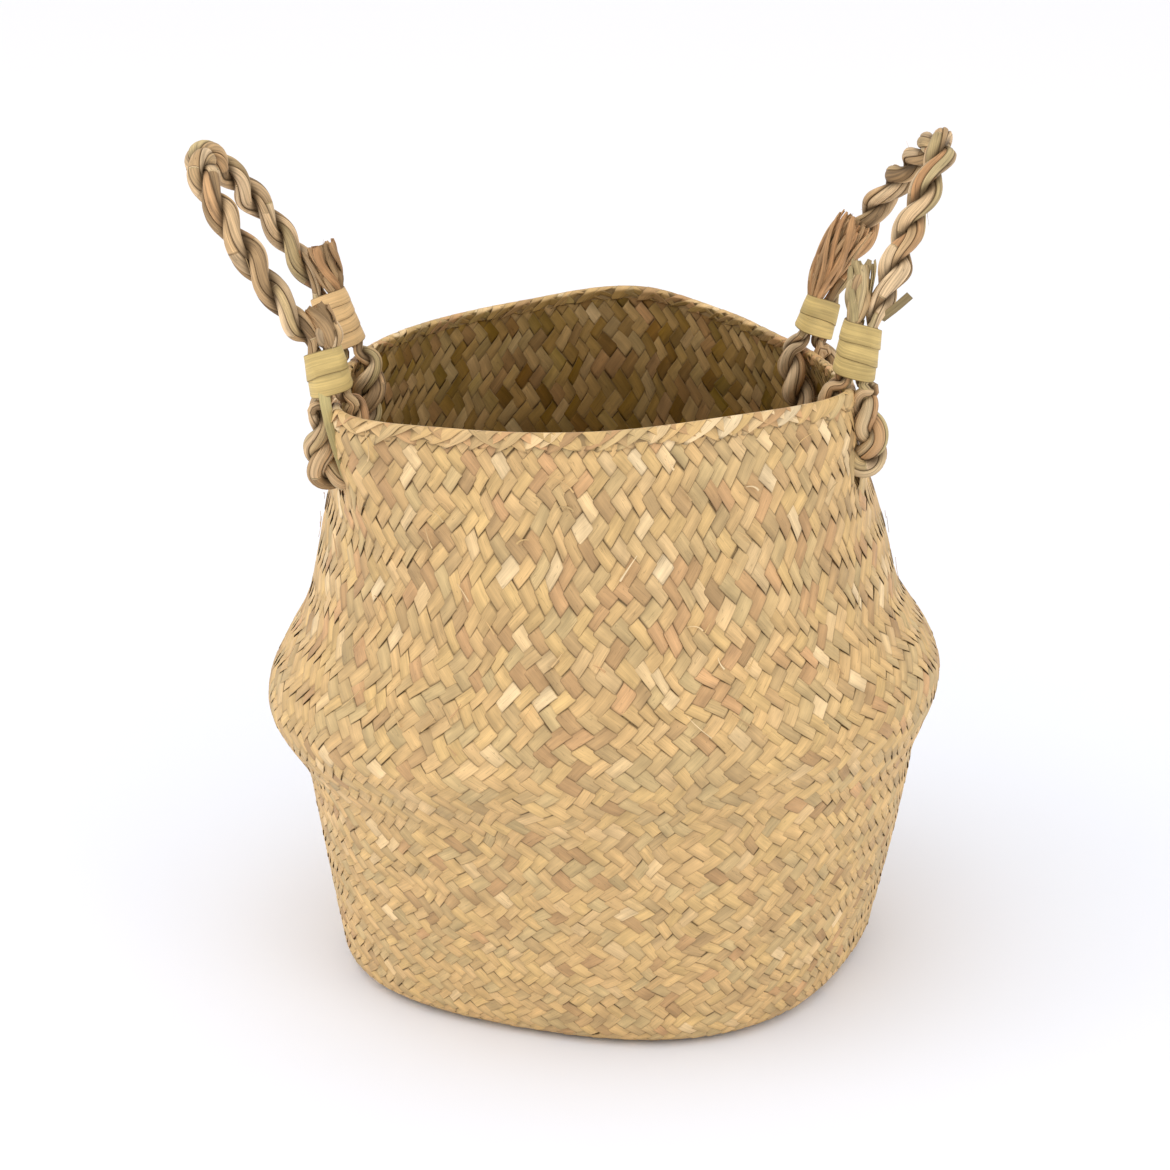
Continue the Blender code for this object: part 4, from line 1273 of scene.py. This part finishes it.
def travelling_frames(path):
    """Unit tangents, and a normal and binormal that turn as little as they can."""
    tangent = np.gradient(path, axis=0)
    tangent /= np.linalg.norm(tangent, axis=1)[:, None]
    first = np.cross(tangent[0], CROSSWISE)
    normal = [first / np.linalg.norm(first)]
    for here in tangent[1:]:
        turned = normal[-1] - here * (normal[-1] @ here)
        normal.append(turned / np.linalg.norm(turned))
    normal = np.array(normal)
    return tangent, normal, np.cross(tangent, normal)


def around(angle, normal, binormal):
    """Directions at an angle round a path, between its normal and its binormal."""
    return np.cos(angle)[..., None] * normal + np.sin(angle)[..., None] * binormal


# Where the points of one blade lie across it, and how far each stands out, in creases
BLADE_SHARES, BLADE_STANDS = np.array((
    (0.0, -1.0), (0.05, -0.25), (0.14, 0.0), (0.32, 0.10), (0.52, 0.06), (0.72, -0.12),
    (0.88, -0.42), (0.97, -0.85))).T
# How far a strand lies from the rope's middle, and how thick it is, in rope radii
STRAND_AWAY = 0.475
STRAND_THICK = 0.57
# How unevenly a strand is laid: how far, in radians per metre, and how its seed shifts it
AWAY_WAVE = (0.08, 170)
TURN_WAVES = ((0.16, 95, 2), (0.10, 210, 1))
# The blades' lay, in lays of the rope, how much wider some are, and how their widths and
# thicknesses waver: how far, the least radians per metre, and how many more
BLADE_LAYS = 1.9
BLADE_WIDER = 1.1
WIDTH_WAVES = (0.25, 60, 50)
PUFF_WAVES = (0.07, 90, 80)
# How much a strand is flattened, and how fast the flat side turns, in turns of its blades
STRAND_FLAT = (0.05, 0.4)
# A blade's tone lasts this long, and this many tones come round again
TONE_LENGTH = 0.041
TONE_COUNT = 64
# How softly the painted shade in a crease darkens; the strands' painted shade on each other: most,
# from how far out, in rope radii, and over how much; the fibres' scale, and how far apart the
# fibres of blades are, of seeds, and of stretches with one tone
CREASE_SOFTNESS = 2.2
MIDDLE_SHADE = (0.95, 0.88, 0.45)
STRAND_GRAIN = 0.0029
BLADE_FIBRE_STEPS = (0.41, 0.1, 0.13)


def wavers(rng, run, count, size, rate, more):
    """Waves along a run, one for each of count blades, each at its own rate."""
    return size * np.sin(run[:, None] * (rate + more * rng.random(count))
                         + ANY_PHASE * rng.random(count))


def strand(path, radius, lay, turn, rope, seed):
    """One strand of a rope round path: flat blades that wind round it, each tucked under the next
    along a crease that is darkened with painted shade."""
    rng = np.random.default_rng(seed)
    run = run_lengths(path)
    radius = radius[:, None]
    _, normal, binormal = travelling_frames(path)
    angle = 2 * math.pi * np.concatenate([[0], np.cumsum(np.diff(run) / lay[1:])]) + turn
    for size, rate, start in TURN_WAVES:
        angle = angle + size * np.sin(rate * run + start * seed)
    away = 1 + AWAY_WAVE[0] * np.sin(AWAY_WAVE[1] * run + seed)
    centre = path + STRAND_AWAY * radius * away[:, None] * around(angle, normal, binormal)
    _, normal, binormal = travelling_frames(centre)
    twist = -2 * math.pi * run / (rope.lay * BLADE_LAYS) + turn
    width = (1 + BLADE_WIDER * rng.random(rope.blades)
             + wavers(rng, run, rope.blades, *WIDTH_WAVES))
    width /= width.sum(1)[:, None]
    edge = np.cumsum(width, 1) - width
    side = (2 * math.pi * (edge[:, :, None] + width[:, :, None] * BLADE_SHARES)
            + twist[:, None, None]).reshape(len(path), -1)
    blade = np.repeat(np.arange(rope.blades), len(BLADE_SHARES))
    puff = 1 + wavers(rng, run, rope.blades, *PUFF_WAVES)
    deep = rope.crease * np.tile(BLADE_STANDS, rope.blades)
    flat = 1 - STRAND_FLAT[0] * (1 + np.cos(2 * (side - twist[:, None] * STRAND_FLAT[1])))
    thick = STRAND_THICK * radius * (1 + deep) * puff[:, blade] * flat
    points = centre[:, None] + thick[..., None] * around(side, normal[:, None], binormal[:, None])
    starts = rng.random(rope.blades)
    stretch = np.floor(run[:, None] / TONE_LENGTH + starts[blade]).astype(int)
    tone = rng.random((rope.blades, TONE_COUNT))[blade, stretch % TONE_COUNT]
    # Painted shade: in each blade's crease, and near the rope's middle, where the two strands
    # shade each other
    crease = np.tile(np.clip(-BLADE_STANDS, 0, 1) ** CREASE_SOFTNESS, rope.blades)
    most, shaded_from, shaded_over = MIDDLE_SHADE
    middle = np.linalg.norm(points - path[:, None], axis=2) / radius
    shaded = most * ease((shaded_from - middle) / shaded_over)
    steps = BLADE_FIBRE_STEPS
    grain = ((side - twist[:, None]) * STRAND_GRAIN, run[:, None],
             blade * steps[0] + seed * steps[1] + stretch * steps[2])
    return (points, tube_faces(1, *side.shape),
            strip_facts(side.shape, tone, np.maximum(crease, shaded), grain=grain))


def two_strands(path, radius, lay, turn, rope, seed):
    """A rope's two strands, half a turn apart."""
    return [strand(path, radius, lay, turn + math.pi * number, rope, seed + number)
            for number in range(2)]


# Loose fibres: their rings and sides, half their thickness, how much thinner their ends are, and
# how far out they start, in rope radii
HAIR_RINGS = 7
HAIR_SIDES = 4
HAIR_RADIUS = 0.00020
HAIR_TAPER = 0.75
HAIR_FOOT = 0.4
# They start at least this many rings from a path's ends
HAIR_MARGIN = 3
# The least, and how much more: how far each goes along its rope, how long it is and how it lifts
HAIR_SPEEDS = (0.8, 0.5)
HAIR_REACHES = (0.4, 0.9)
HAIR_LIFTS = (0.35, 0.5)
HAIR_BEND = 0.35
HAIR_CURL = 0.4
HAIR_LIFT_POWER = 1.6


def hairs(path, radius, count, seed, length, spread):
    """Loose fibres that lift off a path, thin and pointed."""
    rng = np.random.default_rng(seed)
    tangent, normal, binormal = travelling_frames(path)
    share = np.linspace(0, 1, HAIR_RINGS)
    thin = HAIR_RADIUS * (1 - HAIR_TAPER * share)
    side = np.linspace(0, 2 * math.pi, HAIR_SIDES, endpoint=False)
    parts = []
    for _ in range(count):
        at = int(rng.integers(HAIR_MARGIN, len(path) - HAIR_MARGIN))
        out = around(rng.random() * 2 * math.pi, normal[at], binormal[at])
        way = tangent[at] * (1 if rng.random() < 0.5 else -1) * drawn(rng, HAIR_SPEEDS)
        bend = rng.normal(0, HAIR_BEND, 3)
        reach = length * drawn(rng, HAIR_REACHES)
        lift = spread * drawn(rng, HAIR_LIFTS)
        line = (path[at] + out * radius[at] * HAIR_FOOT + reach * share[:, None] * way
                + reach * (lift * share ** HAIR_LIFT_POWER)[:, None] * out
                + reach * (HAIR_CURL * share ** 2)[:, None] * bend)
        _, n, b = travelling_frames(line)
        points = line[:, None] + thin[:, None, None] * around(side, n[:, None], b[:, None])
        parts.append((points, tube_faces(1, HAIR_RINGS, HAIR_SIDES),
                      strip_facts(points.shape[:2], rng.random())))
    return parts


# How much fuller than its solid a leg looks, and how close to its binding a rope is bound
LEG_FULLNESS = 1.34
BOUND_REACH = 0.03


def swelling(path, legs):
    """The rope's radius along a path, thin where a leg binds it and full a little further on,
    and where it is below a binding."""
    run = run_lengths(path)
    index = np.arange(len(path))
    near = np.ones(len(path))
    full = np.full(len(path), BOW_RADIUS)
    low = np.zeros(len(path), bool)
    for leg in legs:
        foot, top = np.array(leg.tie_foot), np.array(leg.top)
        high = (path - foot) @ np.array(leg.up)
        away = np.maximum(np.maximum(-high - TIE_LEAD_IN, high - leg.tie_height), 0)
        close = np.linalg.norm(path - (foot + top) / 2, axis=1) < BOUND_REACH
        bound = np.nonzero((away == 0) & close)[0]
        below = (index >= bound.min()) & (index <= bound.max())
        distance = np.abs(run[:, None] - run[bound][None, :]).min(1)
        near = np.minimum(near, ease(distance / np.where(below, LEG_SWELL_LENGTH, SWELL_LENGTH)))
        full[below] = ROPE_RADIUS * LEG_FULLNESS
        low |= below
    return TIED_RADIUS + (full - TIED_RADIUS) * near, low


# How close a rope's rings are, the turn that its first strand starts at, and its loose fibres'
# length and spread
ROPE_STEP = 0.0009
FIRST_TURN = 0.6
ROPE_HAIRS = (0.007, 1.0)


class BASKET_OT_ropes(bpy.types.Operator):
    """Twist the two ropes, each from one cut end, through the wall and over, to the other"""
    bl_idname = "basket.ropes"
    bl_label = "Twist the handles"

    def execute(self, context):
        rope, colours = context.scene.basket_rope, context.scene.basket_colours
        for number, (side, bow) in enumerate(BOWS.items()):
            front, back = Leg(side + "_front"), Leg(side + "_back")
            route, middle, rise = bow_route(front, back, *bow)
            points = (front.rope_points() + [front.pivot] + route + [back.pivot]
                      + back.rope_points()[::-1])
            path = smooth_path(points, ROPE_STEP)
            radius, low = swelling(path, (front, back))
            lay = np.where(low, rope.leg_lay, rope.lay)
            parts = two_strands(path, radius, lay, FIRST_TURN, rope, SEEDS["ropes"] + 7 * number)
            parts += hairs(path, radius, rope.hairs, SEEDS["hairs"] + number, *ROPE_HAIRS)
            piece = add_mesh(side + "_handle_rope", joined(parts), rope_finish(colours))
            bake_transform(piece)
            replace_nodes(piece, side + "_bow", side + "_front_rope", side + "_back_rope")
        return {"FINISHED"}


# ------------------------------------------------------------------ bindings

# How the painted shade darkens the edges of a loose strip and of a binding
LOOSE_SHADE = 0.4 * np.abs(LENS_ACROSS) ** 6
BOUND_SHADE = 0.95 * np.abs(LENS_ACROSS) ** 16
RIBBON_FIBRE_STEP = 0.37
RIBBON_STEP = 0.001


def ribbon(path, out_way, width, thickness, crown, seed, tone, slit=LOOSE_SHADE):
    """A flat strip along path, its flat side facing out_way; width and tone may change along."""
    tangent, _, _ = travelling_frames(path)
    across_way = np.cross(np.broadcast_to(out_way, path.shape), tangent)
    across_way /= np.linalg.norm(across_way, axis=1)[:, None]
    lift_way = np.cross(tangent, across_way)
    width = np.broadcast_to(width, len(path))[:, None]
    lateral = LENS_ACROSS * width / 2
    lift = lens_rise(thickness / 2, crown * width / width.max())
    points = (path[:, None] + lateral[..., None] * across_way[:, None]
              + lift[..., None] * lift_way[:, None])
    grain = (lateral, run_lengths(path)[:, None], RIBBON_FIBRE_STEP * seed)
    return (points, tube_faces(1, len(path), len(LENS)),
            strip_facts(lateral.shape, np.reshape(tone, (-1, 1)), slit, grain=grain))


TIE_FINE_STEPS = 56
# How wide a binding's strip is, in even wraps, and how thick it is and swells
TIE_LAP = 1.08
TIE_STRIP_THICK = 0.00055
TIE_CROWN = 0.0001
# How evenly it climbs, how much wider it is wound below this share of its height, how far it
# leans out, and how its course, width and tone waver
TIE_EVENING_ROUNDS = 6
TIE_FLARE = (0.07, 0.45)
TIE_LEAN = 0.10
TIE_WAVE = (0.00018, 3)
TIE_WIDTH_WAVE = (0.04, 1.3)
TIE_TONE_WAVE = (0.3, 5.1)


def wound_tie(leg, seed):
    """A flat strip wound round both strands, each turn lapping the one below."""
    rng = np.random.default_rng(seed)
    wraps = leg.tie_turns
    strip = TIE_LAP * leg.tie_height / wraps
    turned = np.linspace(0, wraps, wraps * TIE_FINE_STEPS + 1)
    # It starts and ends on the side away from the camera
    turn = (1 if leg.side.y < 0 else -1) * (2 * math.pi * turned - math.pi / 2)
    climbed = np.clip((turned - 0.5) / (wraps - 1), 0, 1)
    for _ in range(TIE_EVENING_ROUNDS):
        climbed[1:-1] = (climbed[:-2] + 2 * climbed[1:-1] + climbed[2:]) / 4
    flare = 1 + TIE_FLARE[0] * (TIE_FLARE[1] - climbed)
    reach = (TIED_RADIUS + TIE_SLACK + TIE_THICK / 2) * flare
    wide = TIE_WAVE[0] * np.sin(TIE_WAVE[1] * turn + rng.random() * MOST_PHASES)
    out = (reach + wide) * np.cos(turn)
    shift = leg.strand * np.sign(out) * np.minimum(1.0, np.abs(out) / (reach * TIE_ROUND_SHARE))
    across = (reach + wide) * np.sin(turn)
    rise = strip / 2 + (leg.tie_height - strip) * climbed
    ways = np.array([leg.flat_out, leg.side, leg.up])
    path = np.array(leg.tie_foot) + np.stack([out + shift, across, rise], -1) @ ways
    away = np.stack([np.cos(turn), np.sin(turn), np.full_like(turn, TIE_LEAN)], -1) @ ways
    width = strip * (1 + TIE_WIDTH_WAVE[0] * np.sin(turn * TIE_WIDTH_WAVE[1] + seed))
    tone = leg.tie_tone + TIE_TONE_WAVE[0] * np.sin(turned * TIE_TONE_WAVE[1] + seed)
    return ribbon(path, away, width, TIE_STRIP_THICK, TIE_CROWN, seed, np.clip(tone, 0, 1),
                  BOUND_SHADE)


# The hanging end: its leg, where it leaves its binding, its course from there, the way it
# faces, its width, thickness and swell, how it narrows, and its tones: low, and how much more
HANGING_LEG = "left_front"
HANGING_RISE = 0.003
HANGING_START = Vector((-0.0030, -0.0044, 0))
HANGING_COURSE = ((0, 0, 0), (0.0008, -0.0014, -0.006), (0.0032, -0.0030, -0.018),
                  (0.0066, -0.0034, -0.031), (0.0113, -0.0034, -0.047))
HANGING_FACES = (0.25, -1, 0.1)
HANGING_SIZE = (0.0052, 0.0005, 0.0004)
HANGING_NARROWER = 0.35
HANGING_TIP = (0.25, 0.85)
HANGING_TONES = (0.25, 0.7)


def hanging_end(leg):
    """The binding's long end, which hangs in front of the rope's loop."""
    start = leg.tie_foot + HANGING_RISE * leg.up + HANGING_START
    path = smooth_path([start + Vector(step) for step in HANGING_COURSE], RIBBON_STEP)
    share = np.linspace(0, 1, len(path))
    wide, thick, crown = HANGING_SIZE
    tip, narrower = HANGING_TIP
    width = wide * (1 - HANGING_NARROWER * share) * (1 - narrower * near_end(share, tip))
    return ribbon(path, HANGING_FACES, width, thick, crown, SEEDS["hanging"],
                  HANGING_TONES[0] + HANGING_TONES[1] * share)


# The standing end, in the same way
STANDING_LEG = "right_front"
STANDING_START = (0.0070, 0.003)
STANDING_COURSE = ((0, 0, 0), (0.0060, -0.002, 0.0055), (0.0118, -0.002, 0.0108))
STANDING_FACES = (0.3, -0.9, -0.3)
STANDING_SIZE = (0.0044, 0.0012, 0.0004)
STANDING_TONE = 0.68
STANDING_SHADE = LOOSE_SHADE + 0.55 * (1 - LOOSE_SHADE)


def standing_end(leg):
    """A short dark stub that sticks out between the strands."""
    start = leg.top + leg.flat_out * STANDING_START[0] + STANDING_START[1] * leg.up
    path = smooth_path([start + Vector(step) for step in STANDING_COURSE], RIBBON_STEP)
    return ribbon(path, STANDING_FACES, *STANDING_SIZE, SEEDS["standing"], STANDING_TONE,
                  STANDING_SHADE)


# The leg that has the beige binding
PALE_LEG = "left_back"


class BASKET_OT_bindings(bpy.types.Operator):
    """Wind a flat strip round both strands of each leg, above the rim"""
    bl_idname = "basket.bindings"
    bl_label = "Wind the bindings"

    def execute(self, context):
        colours = context.scene.basket_colours
        for number, name in enumerate(LEGS):
            leg = Leg(name)
            pieces = [add_mesh(name + "_binding", wound_tie(leg, SEEDS["ties"] + number),
                               tie_finish(colours, name == PALE_LEG))]
            if name == HANGING_LEG:
                pieces.append(add_mesh(name + "_loose_end", hanging_end(leg),
                                       leaf_finish(colours)))
            for piece in pieces:
                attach(piece, "upper")
                replace_nodes(piece, name + "_tie")
        return {"FINISHED"}


# ------------------------------------------------------------------ cut ends

ENDS = {
    "left_front": {"length": 0.0200, "spread": 0.0046, "blades": 18, "wide": 0.0056,
                   "lean": (-0.38, 0.11, 1.0), "stub": 0.5, "tip": 0.15, "tones": (0.1, 0.34)},
    "left_back": {"length": 0.0235, "spread": 0.0068, "blades": 30, "wide": 0.0038,
                  "lean": (-0.34, 0.10, 1.0), "stub": 0.5, "tip": 0.3, "tones": (0.0, 0.36)},
    "right_front": {"length": 0.0280, "spread": 0.0054, "blades": 15, "wide": 0.0042,
                    "lean": (0.10, 0.14, 1.0), "stub": 0.8, "tip": 0.4, "tones": (0.58, 0.76)},
    "right_back": {"length": 0.0410, "spread": 0.0095, "blades": 90, "wide": 0.0027,
                   "lean": (0.57, 0.13, 1.0), "stub": 0.5, "tip": 0.5, "tones": (0.0, 0.20)},
}
# The cut end's course: how far it starts inside its binding and goes straight up; and its steps
END_INSIDE = 0.001
END_STRAIGHT = 0.0045
END_STEP = 0.0008
# The stub: its radius, how soon it is full, and how far its end draws in and by how much
STUB_RADIUS = 0.0060
STUB_FULL = 1.8
STUB_TIP = (0.15, 0.30)
# A stub and a blade have at least this many rings
FEWEST_STUB_RINGS = 6
FEWEST_BLADE_RINGS = 5
# The blades' turns: from one to the next, how much that differs, how they swirl on their way up
# and how they waver
GOLDEN_TURN = 2.4
TURN_SPREAD = 0.6
SWIRL = 0.9
SWIRL_WAVE = (0.25, 5)
# How far out they start; then, the least and how much more: how far they fan out, how long and
# wide they are and how they swell; how soon they fan out, how narrow their feet are, how thick
# they are, and how much of a blade is its tip
FIRST_RING = 0.6
FOOT_SHARE = 0.80
FAN_POWER = 0.9
FANS = (0.85, 0.35)
LENGTHS = (0.86, 0.14)
WIDTHS = (0.65, 0.7)
FOOT_WIDTH = 0.75
BLADE_THICK = 0.0005
CROWNS = (0.0004, 0.0004)
TIP_SHARE = 0.1
# The cut end's loose fibres: how many, their length and their spread
END_HAIRS = 10
END_HAIR_FORM = (0.006, 0.8)


def cut_end(leg, rope, seed):
    """The rope's end above its binding: a twisted stub inside a brush of flat blades."""
    end = ENDS[leg.name]
    rng = np.random.default_rng(seed)
    way = Vector(end["lean"]).normalized()
    start = leg.strand_top - END_INSIDE * leg.up
    length = end["length"]
    spine = smooth_path([start, start + END_STRAIGHT * leg.up,
                         start + length * 0.5 * (way + leg.up) / 2,
                         start + length * way], END_STEP)
    keep = max(int(len(spine) * end["stub"]), FEWEST_STUB_RINGS)
    along = np.linspace(0, 1, keep)
    radius = TIED_RADIUS + (STUB_RADIUS - TIED_RADIUS) * ease(along * STUB_FULL)
    radius = radius * (1 - STUB_TIP[1] * near_end(along, STUB_TIP[0]))
    _, normal, binormal = travelling_frames(spine)
    # The two strands lie side by side, as the camera sees them, half way up
    level = math.atan2(binormal[keep // 2][0], normal[keep // 2][0])
    first = level - 2 * math.pi * run_lengths(spine)[keep // 2] / rope.lay
    parts = two_strands(spine[:keep], radius, np.full(keep, rope.lay), first, rope, seed)
    share = np.linspace(0, 1, len(spine))
    low, high = end["tones"]
    for blade in range(end["blades"]):
        ring = math.sqrt((blade + FIRST_RING) / end["blades"])
        turn = GOLDEN_TURN * blade + TURN_SPREAD * rng.random()
        root = TIED_RADIUS * FOOT_SHARE * ring
        fan = end["spread"] * ring * drawn(rng, FANS)
        out = root + (fan - root) * np.sin(math.pi / 2 * share ** FAN_POWER)
        swirl = (turn + SWIRL * (1 - share)
                 + SWIRL_WAVE[0] * np.sin(share * SWIRL_WAVE[1] + rng.random() * MOST_PHASES))
        radial = around(swirl, normal, binormal)
        last = max(int(len(spine) * drawn(rng, LENGTHS)), FEWEST_BLADE_RINGS)
        line = (spine + out[:, None] * radial)[:last]
        width = (end["wide"] * drawn(rng, WIDTHS)
                 * (FOOT_WIDTH + (1 - FOOT_WIDTH) * share[:last])
                 * (1 - end["tip"] * near_end(share[:last] / share[last - 1], TIP_SHARE)))
        parts.append(ribbon(line, radial[:last], width, BLADE_THICK, drawn(rng, CROWNS),
                            seed + blade, low + (high - low) * rng.random()))
    thickness = TIED_RADIUS + (end["spread"] - TIED_RADIUS) * share
    parts += hairs(spine, thickness, END_HAIRS, seed + 5, *END_HAIR_FORM)
    if leg.name == STANDING_LEG:
        parts.append(standing_end(leg))
    return joined(parts)


class BASKET_OT_ends(bpy.types.Operator):
    """Fray the cut ends that stand up above the bindings"""
    bl_idname = "basket.ends"
    bl_label = "Fray the cut ends"

    def execute(self, context):
        rope, colours = context.scene.basket_rope, context.scene.basket_colours
        for handle, side in enumerate(BOWS):
            for number, leg in enumerate((Leg(side + "_front"), Leg(side + "_back"))):
                form = cut_end(leg, rope, SEEDS["ends"] + 11 * number + handle)
                piece = add_mesh(leg.name + "_brush", form, rope_finish(colours))
                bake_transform(piece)
                replace_nodes(piece, leg.name + "_tail")
        return {"FINISHED"}


# ------------------------------------------------------------------ the stage

# The camera that the photograph was taken with: its picture's side, focal length and centre in
# pixels, and where it stands
PHOTO_SIDE = 1170
PHOTO_FOCUS = 3260.0
PHOTO_CENTRE = (603.5, 633.5)
CAMERA_RISE = math.radians(20)
CAMERA_AWAY = 1.5
LOOKS_AT = Vector((0, 0, 0.150))
# Each light's place, size and power
LIGHTS = {
    "key": ((-0.8, -1.1, 2.1), 3.0, 13.5),
    "side": ((-1.9, -0.1, 0.7), 1.4, 5.0),
    "fill": ((1.3, -1.2, 1.0), 1.2, 5.0),
}
SKY_STRENGTH = 0.99
FLOOR_RADIUS = 7.0
FLOOR_CORNERS = 96
# The floor's two colours, painted darker near the lamps' pool of light and paler further off,
# change over this distance
FLOOR_CHANGE = (0.4, 1.8)
FLOOR_ROUGHNESS = 0.85
FLOOR_SHEEN = 0.2


def area_light(name, at, size, power):
    """A round lamp that looks at the basket."""
    data = bpy.data.lights.new(name, "AREA")
    data.shape = "DISK"
    data.size = size
    data.energy = power
    made = bpy.data.objects.new(name, data)
    made.location = at
    made.rotation_euler = (LOOKS_AT - made.location).to_track_quat("-Z", "Y").to_euler()
    bpy.context.scene.collection.objects.link(made)


def floor_finish(colours):
    made = bpy.data.materials.new("Pale floor")
    made.use_nodes = True
    tree = made.node_tree
    shader = tree.nodes["Principled BSDF"]
    where = tree.nodes.new("ShaderNodeTexCoord")
    away = tree.nodes.new("ShaderNodeVectorMath")
    away.operation = "LENGTH"
    link(tree, where.outputs["Object"], away.inputs[0])
    # The floor is painted darker near the basket, where the lamps light it most, and paler further
    # off, so that it shows evenly bright
    far = range_node(tree, away.outputs["Value"], *FLOOR_CHANGE)
    link(tree, mix_node(tree, "MIX", far, colours.floor, colours.far_floor),
         shader.inputs["Base Color"])
    shader.inputs["Roughness"].default_value = FLOOR_ROUGHNESS
    shader.inputs["Specular IOR Level"].default_value = FLOOR_SHEEN
    return made


class BASKET_OT_stage(bpy.types.Operator):
    """Lay the pale floor, light it softly and set up the camera"""
    bl_idname = "basket.stage"
    bl_label = "Set the stage"

    def execute(self, context):
        scene = context.scene
        bpy.ops.mesh.primitive_circle_add(vertices=FLOOR_CORNERS, radius=FLOOR_RADIUS,
                                          fill_type="NGON")
        floor = context.active_object
        floor.name = "floor"
        floor.data.materials.append(floor_finish(scene.basket_colours))
        world = bpy.data.worlds.new("Soft studio")
        world.use_nodes = True
        back = world.node_tree.nodes["Background"]
        back.inputs["Color"].default_value = (1.0, 1.0, 1.0, 1)
        back.inputs["Strength"].default_value = SKY_STRENGTH
        scene.world = world
        for name, (at, size, power) in LIGHTS.items():
            area_light(name, at, size, power)
        scene.view_settings.view_transform = "Standard"
        camera = bpy.data.objects.new("camera", bpy.data.cameras.new("camera"))
        scene.collection.objects.link(camera)
        camera.location = LOOKS_AT + CAMERA_AWAY * Vector(
            (0, -math.cos(CAMERA_RISE), math.sin(CAMERA_RISE)))
        camera.rotation_euler = (math.pi / 2 - CAMERA_RISE, 0, 0)
        camera.data.lens = PHOTO_FOCUS / PHOTO_SIDE * camera.data.sensor_width
        camera.data.shift_x = -(PHOTO_CENTRE[0] - PHOTO_SIDE / 2) / PHOTO_SIDE
        camera.data.shift_y = (PHOTO_CENTRE[1] - PHOTO_SIDE / 2) / PHOTO_SIDE
        scene.camera = camera
        return {"FINISHED"}


class BASKET_PT_panel(bpy.types.Panel):
    """The basket's steps and settings"""
    bl_idname = "BASKET_PT_panel"
    bl_label = "Belly basket"
    bl_space_type = "VIEW_3D"
    bl_region_type = "UI"
    bl_category = "Basket"

    def draw(self, context):
        for step in STEPS:
            self.layout.operator(step.bl_idname)
        for settings in (context.scene.basket_plait, context.scene.basket_rope,
                         context.scene.basket_colours):
            box = self.layout.box()
            for name in settings.__annotations__:
                box.prop(settings, name)


STEPS = (BASKET_OT_stage, BASKET_OT_wall, BASKET_OT_mat, BASKET_OT_edge, BASKET_OT_ropes,
         BASKET_OT_bindings, BASKET_OT_ends)
SETTINGS = {"basket_plait": BasketPlait, "basket_rope": BasketRope,
            "basket_colours": BasketColours}


def register():
    for made in (*SETTINGS.values(), *STEPS, BASKET_PT_panel):
        bpy.utils.register_class(made)
    for name, kind in SETTINGS.items():
        setattr(bpy.types.Scene, name, bpy.props.PointerProperty(type=kind))


def unregister():
    for name in SETTINGS:
        delattr(bpy.types.Scene, name)
    for made in (BASKET_PT_panel, *reversed(STEPS), *reversed(list(SETTINGS.values()))):
        bpy.utils.unregister_class(made)


def main():
    register()
    for step in STEPS:
        group, name = step.bl_idname.split(".")
        getattr(getattr(bpy.ops, group), name)()
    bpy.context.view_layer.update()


if __name__ == "__main__":
    main()
